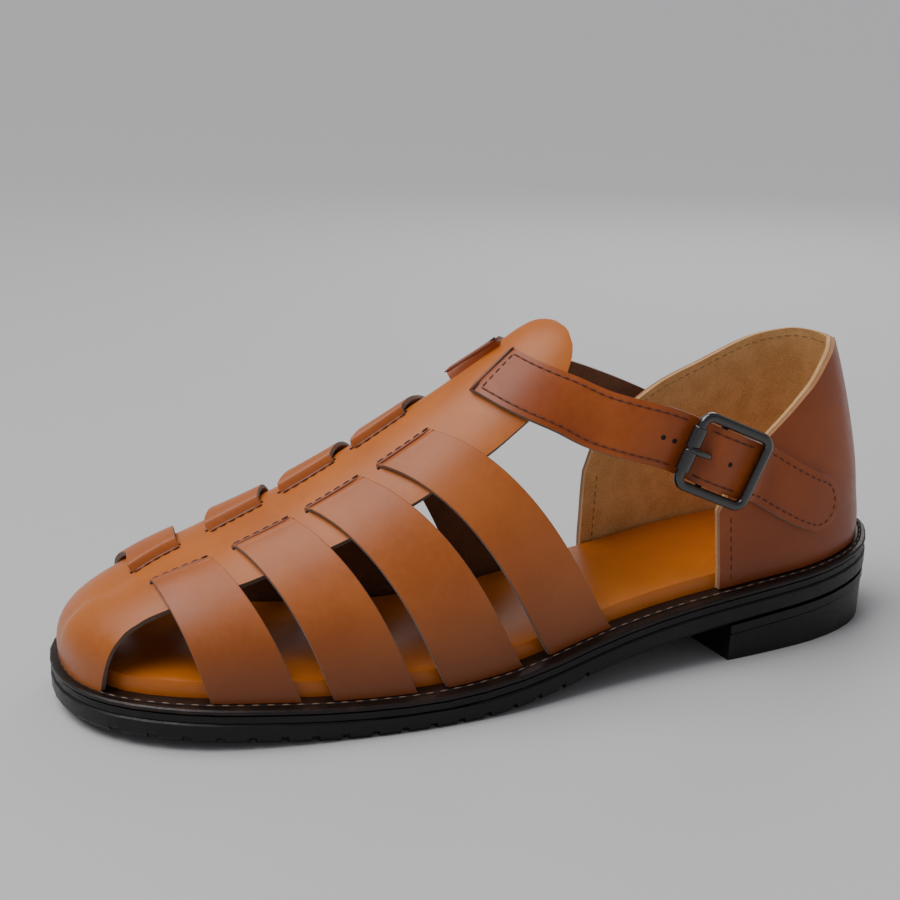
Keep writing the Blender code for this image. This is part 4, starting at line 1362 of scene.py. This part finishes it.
# Rows of the hem beside each slit and of the lip that the strap dives under
hems = {"inner": (inner_slit - 5, inner_slit - 1), "outer": (outer_slit + 6, outer_slit + 2)}
runs = {
    "inner": (14, hems["inner"][0]),
    "outer": (hems["outer"][0], buckle_start),
    "buckle": (inner_stop, buckle_end),
}
for word, (first, final) in runs.items():
    for edge_side, edge_word in ((-1, "bottom"), (1, "top")):
        seam = strap_line + strap_side * (edge_side * seam_reach) + strap_out * (LEATHER + 0.02)
        seam, out_here = seam[first:final], strap_out[first:final]
        groove(f"strap_{word}_{edge_word}_line", seam + 0.02 * out_here, out_here, 0.5, PRESSED)
        stitches(f"strap_{word}_{edge_word}", seam, out_here, 3.0, THREAD, width=0.6)
ways_across = np.linspace(-1, 1, 20)[:, None]
for word, (row, end_row) in hems.items():
    out_here = np.repeat(strap_out[row][None], len(ways_across), 0)
    reach = ways_across * (ANKLE_WIDTH / 2 + 0.6)
    ridge = strap_line[end_row] + strap_side[end_row] * reach + strap_out[end_row] * LEATHER
    swelling(f"ankle_slit_lip_{word}", ridge, 0.7, LIP)
    # The slit beside each hem is a dark ribbon of painted shadow.
    inside = strap_line[end_row] * 0.5 + strap_line[(end_row + row) // 2] * 0.5
    ridge = inside + strap_side[row] * reach * 0.94 + strap_out[row] * (LEATHER + 0.08)
    groove(f"ankle_slit_{word}", ridge, out_here, 0.9, PAINTED_SHADOW)
    seam = strap_line[row] + strap_side[row] * (ways_across * seam_reach) + strap_out[row] * (LEATHER + 0.05)
    stitches(f"strap_hem_{word}", seam, out_here, 2.9, THREAD, width=0.6)


print("seams run in", len(runs), "stretches")

# %% [markdown]
# The tab starts low on the outer side of the counter and ends under the far bar of
# the buckle. Its seam runs round its end in one loop.

# %% Buckle tab
tab_points, tab_normals = map(list, zip(*counter_run(LATERAL, TAB_LINE[:-1])))
tab_depth = -WIRE / 2 - LEATHER - 2 * GAP - TAB_LEATHER
for along in (BAR_REACH, BAR_REACH - 6.0):
    tab_points.append(in_buckle(along, tab_depth))
    tab_normals.append(buckle_axes()[1])
tab_line, tab_out, tab_at = smooth_path(np.array(tab_points), np.array(tab_normals), PATH_STEP)
tab_side = across_of(tab_line, tab_out)
tab_half = round_tab(tab_at, ANKLE_WIDTH / 2)
sheet(
    "buckle_tab_leather",
    strip_place(tab_line, tab_out, tab_side, tab_half, TAB_LEATHER - 0.2, 0.25),
    strip_place(tab_line, tab_out, tab_side, tab_half, -0.35),
    16, 140, SHADED_LOOKS, edge=0.5, replaced=("buckle_tab",),
)
TAB_INSET = 2.3
inset_half = round_tab(np.maximum(tab_at - TAB_INSET, 0.0), ANKLE_WIDTH / 2 - TAB_INSET)
rows = np.arange(3, len(tab_line) - 8)
lower = (tab_line - tab_side * inset_half[:, None] + tab_out * TAB_LEATHER)[rows]
upper = (tab_line + tab_side * inset_half[:, None] + tab_out * TAB_LEATHER)[rows]
loop = np.concatenate([lower[::-1], upper])
loop_out = np.concatenate([tab_out[rows][::-1], tab_out[rows]])
stitches("tab_stitches", loop, loop_out, 3.0, THREAD, width=0.6)


print("buckle tab is", round(float(tab_at[-1])), "mm long")

# %% [markdown]
# A punched hole shows as a dark disc on the leather: painted shadow of its inside.

# %% Pin holes
# Radius of the dark disc as a share of a hole's width, and the row from which the holes are
# looked for
HOLE_SHOWN = 0.62
search_row = buckle_start - 40

holes = bmesh.new()
from_buckle = (strap_line[search_row:] - place_of(*BUCKLE_PLACE)) @ buckle_axes()[0]
for along in HOLES:
    row = int(np.argmin(np.abs(from_buckle - along))) + search_row
    top = strap_line[row] + strap_out[row] * (LEATHER + 0.09)
    reach = HOLE * HOLE_SHOWN * MM
    bmesh.ops.create_cone(
        holes, cap_ends=True, segments=24, radius1=reach, radius2=reach, depth=0.2 * MM,
        matrix=standing(top, strap_out[row]),
    )
place_object("pin_holes", holes, (PAINTED_SHADOW,), "tan_leather")
print("ankle strap is", round(float(strap_at[-1])), "mm long")

# %% [markdown]
# ## Buckle
# The buckle is wire: each wire is a curve with a round section. The roller is two
# short sleeves on the front bar, with the pin resting between them.

# %% Wire tool
def wire(name, points, radius, cyclic=False, radii=None, replaced=()):
    """A smooth round wire through a list of points."""
    line_data = bpy.data.curves.new(name, "CURVE")
    line_data.dimensions = "3D"
    line_data.bevel_depth = radius * MM
    line_data.bevel_resolution = 6
    line_data.use_fill_caps = True
    spline = line_data.splines.new("POLY")
    spline.points.add(len(points) - 1)
    for number, point in enumerate(points):
        spline.points[number].co = (*placed(point), 1.0)
        spline.points[number].radius = 1.0 if radii is None else radii[number]
    spline.use_cyclic_u = cyclic
    spline.use_smooth = True
    line_data.materials.append(METAL)
    made = link(name, line_data)
    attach(made, "root")
    if replaced:
        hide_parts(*replaced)
    return made


print("wire tool ready")

# %% [markdown]
# The ring is the frame. The centre bar sags under the strap, and the pin bends up
# through its hole and rests on the front bar.

# %% The wires of the buckle
# Each of the ring's four corners is an arc of nine points
corner_along, corner_across = BAR_REACH - BUCKLE_CORNER, FRAME_REACH - BUCKLE_CORNER
ring = []
for corner, (sign_along, sign_across) in enumerate(((1, 1), (-1, 1), (-1, -1), (1, -1))):
    for step in range(9):
        angle = math.radians(corner * 90 + step * 11.25)
        ring.append(in_buckle(
            sign_along * corner_along + BUCKLE_CORNER * math.cos(angle), 0.0,
            sign_across * corner_across + BUCKLE_CORNER * math.sin(angle),
        ))
wire("buckle_ring", ring, WIRE / 2, cyclic=True, replaced=("buckle_frame",))
wire("buckle_centre_bar", [
    in_buckle(CENTRE_BAR_SHIFT, out, across) for across, out in (
        (-FRAME_REACH, -0.3), (-FRAME_REACH + 1.9, -CENTRE_BAR_DROP),
        (FRAME_REACH - 1.9, -CENTRE_BAR_DROP), (FRAME_REACH, -0.3),
    )
], CENTRE_BAR / 2)
foot = CENTRE_BAR_SHIFT - CENTRE_BAR / 2 - GAP - PRONG / 2
rest = ROLLER_RADIUS + GAP + PRONG / 2
pin = np.array([
    in_buckle(along, out) for along, out in (
        (foot, -CENTRE_BAR_DROP - 0.3), (foot, -0.4), (foot - 0.3, 1.4), (foot - 1.6, 2.7),
        (foot - 3.6, rest - 0.4), (-BAR_REACH, rest), (-BAR_REACH - 1.6, rest - 0.5),
    )
])
smooth_pin, _, pin_at = smooth_path(pin, np.ones_like(pin), 0.4)
wire(
    "buckle_pin", smooth_pin, PRONG / 2, replaced=("buckle_prong",),
    radii=np.interp(pin_at / pin_at[-1], [0, 0.75, 1], [1, 1, 0.72]),
)
sleeves = bmesh.new()
for sign in (-1, 1):
    centre = in_buckle(-BAR_REACH, 0.0, sign * (ROLLER_LENGTH / 4 + 0.15))
    bmesh.ops.create_cone(
        sleeves, cap_ends=True, segments=40, radius1=ROLLER_RADIUS * MM, radius2=ROLLER_RADIUS * MM,
        depth=(ROLLER_LENGTH / 2 - 0.3) * MM, matrix=standing(centre, buckle_axes()[2]),
    )
soften(place_object("buckle_sleeves", sleeves, (METAL,), "black_metal", ("buckle_roller",)), 0.35, 3)
print("buckle is", round(2 * BAR_REACH + WIRE), "by", round(2 * FRAME_REACH + WIRE), "mm")

# %% [markdown]
# ## Sole and insole
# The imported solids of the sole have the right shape, so they stay. Welding their
# points and splitting only the sharp edges lets the light run smoothly over them.

# %% Sole and insole
# Edges that turn by more than this many degrees stay sharp
SHARP_ANGLE = 32
# Share of the ledge, from its outer edge, at which the seam of the welt runs
WELT_SEAM = 0.62

sole_looks = {"outsole": RUBBER, "heel": RUBBER, "midsole": RUBBER, "welt": EDGE_DYE, "insole": FOOTBED}
for node, look in sole_looks.items():
    solid = NODES[node]
    weld = solid.modifiers.new("weld", "WELD")
    weld.merge_threshold = WELDED
    split = solid.modifiers.new("sharp edges", "EDGE_SPLIT")
    split.split_angle = math.radians(SHARP_ANGLE)
    for polygon in solid.data.polygons:
        polygon.use_smooth = True
    solid.data.materials.clear()
    solid.data.materials.append(look)

welt_turns = np.linspace(0.0, 1.0, 400)
for side, word in ((LATERAL, "outer"), (MEDIAL, "inner")):
    plan = outline(side, welt_turns, ledge(welt_turns) * WELT_SEAM)
    height = welt_top(station_of(welt_turns)) + 0.06
    points = np.concatenate([plan, height[:, None]], -1)
    up = np.repeat(np.array([[0.0, 0.0, 1.0]]), len(points), 0)
    # The welt's stitch channel is a dark ribbon of painted shade.
    groove(f"welt_channel_{word}", points, up, 1.3, PAINTED_SHADOW)
    stitches(
        f"welt_stitches_{word}", points, up, 4.4, WELT_THREAD,
        length=0.62, width=0.6, slot="black_welt",
    )
print("welt stitches run right round the sole")

# %% [markdown]
# ## Floor, light and camera
# The floor is plain and pale. A soft sun from above, two softboxes and a pale world,
# brighter near the horizon, give long soft highlights on the leather. The camera
# stands where the photographer stood.

# %% Floor and world
# Radius of the floor in metres, and the colours of the world by height
FLOOR_RADIUS = 30.0
GLOW = ((0.0, (0.52, 0.52, 0.54)), (0.12, (0.50, 0.50, 0.52)), (0.5, (0.26, 0.26, 0.27)))

floor_work = bmesh.new()
bmesh.ops.create_circle(floor_work, cap_ends=True, segments=96, radius=FLOOR_RADIUS)
floor_mesh = bpy.data.meshes.new("floor")
floor_work.to_mesh(floor_mesh)
floor_work.free()
floor = link("floor", floor_mesh)
pale, _, _ = finish("pale floor", Base_Color=(0.56, 0.56, 0.57, 1.0), Roughness=0.8)
floor_mesh.materials.append(pale)

world = bpy.data.worlds.new("soft room")
bpy.context.scene.world = world
world.use_nodes = True
sky = world.node_tree
direction = sky.nodes.new("ShaderNodeSeparateXYZ")
sky.links.new(sky.nodes.new("ShaderNodeTexCoord").outputs["Generated"], direction.inputs["Vector"])
background = sky.nodes["Background"]
sky.links.new(ramp(sky, direction.outputs["Z"], GLOW), background.inputs["Color"])
background.inputs["Strength"].default_value = 1.0


print("floor and world ready")

# %% [markdown]
# A light is aimed along its own downward axis. The big soft sun fills the shadows,
# and the two softboxes draw the highlights.

# %% Lights
def aim_at(name, data, power, direction):
    """Links a light of this power and turns it to shine in a direction."""
    data.energy = power
    made = link(name, data)
    made.rotation_euler = Vector(direction).to_track_quat("-Z", "Y").to_euler()
    return made


def area_light(name, place, aim, size, power):
    data = bpy.data.lights.new(name, "AREA")
    data.shape = "RECTANGLE"
    data.size, data.size_y = size
    aim_at(name, data, power, Vector(aim) - Vector(place)).location = place


def sun_light(name, place, angle, strength):
    data = bpy.data.lights.new(name, "SUN")
    data.angle = math.radians(angle)
    aim_at(name, data, strength, -Vector(place))


# A sun: where it stands, its width in degrees and its strength. A softbox: its place, what
# it faces and its size, in metres, and its power in watts
sun_light("soft overhead sun", (-0.35, 0.25, 1.0), 50, 1.9)
area_light("key softbox", (-0.50, -0.10, 0.75), (-0.02, 0.0, 0.05), (0.55, 0.45), 2.6)
area_light("rim softbox", (0.55, 0.65, 0.55), (0.05, 0.0, 0.06), (0.4, 0.5), 1.6)


print("lights:", len(bpy.data.lights))

# %% [markdown]
# The camera's angles, distance and lens were fitted to the sole in the photograph.

# %% Camera
# The camera: its angles, then its distance and target in millimetres
CAMERA_TURN, CAMERA_RISE, CAMERA_DISTANCE = math.radians(25.2), math.radians(16.4), 528.6
CAMERA_TARGET = np.array([-18.9, 0.0, 74.0])
camera_data = bpy.data.cameras.new("camera")
camera_data.sensor_width = 36.0
camera_data.lens = 66.5
camera = link("camera", camera_data)
backwards = np.array([
    -math.sin(CAMERA_TURN) * math.cos(CAMERA_RISE),
    -math.cos(CAMERA_TURN) * math.cos(CAMERA_RISE),
    math.sin(CAMERA_RISE),
])
camera.location = Vector((CAMERA_TARGET - MIDDLE + backwards * CAMERA_DISTANCE) * MM)
camera.rotation_euler = Vector(-backwards).to_track_quat("-Z", "Y").to_euler()
bpy.context.scene.camera = camera
print("camera lens", camera_data.lens, "mm")
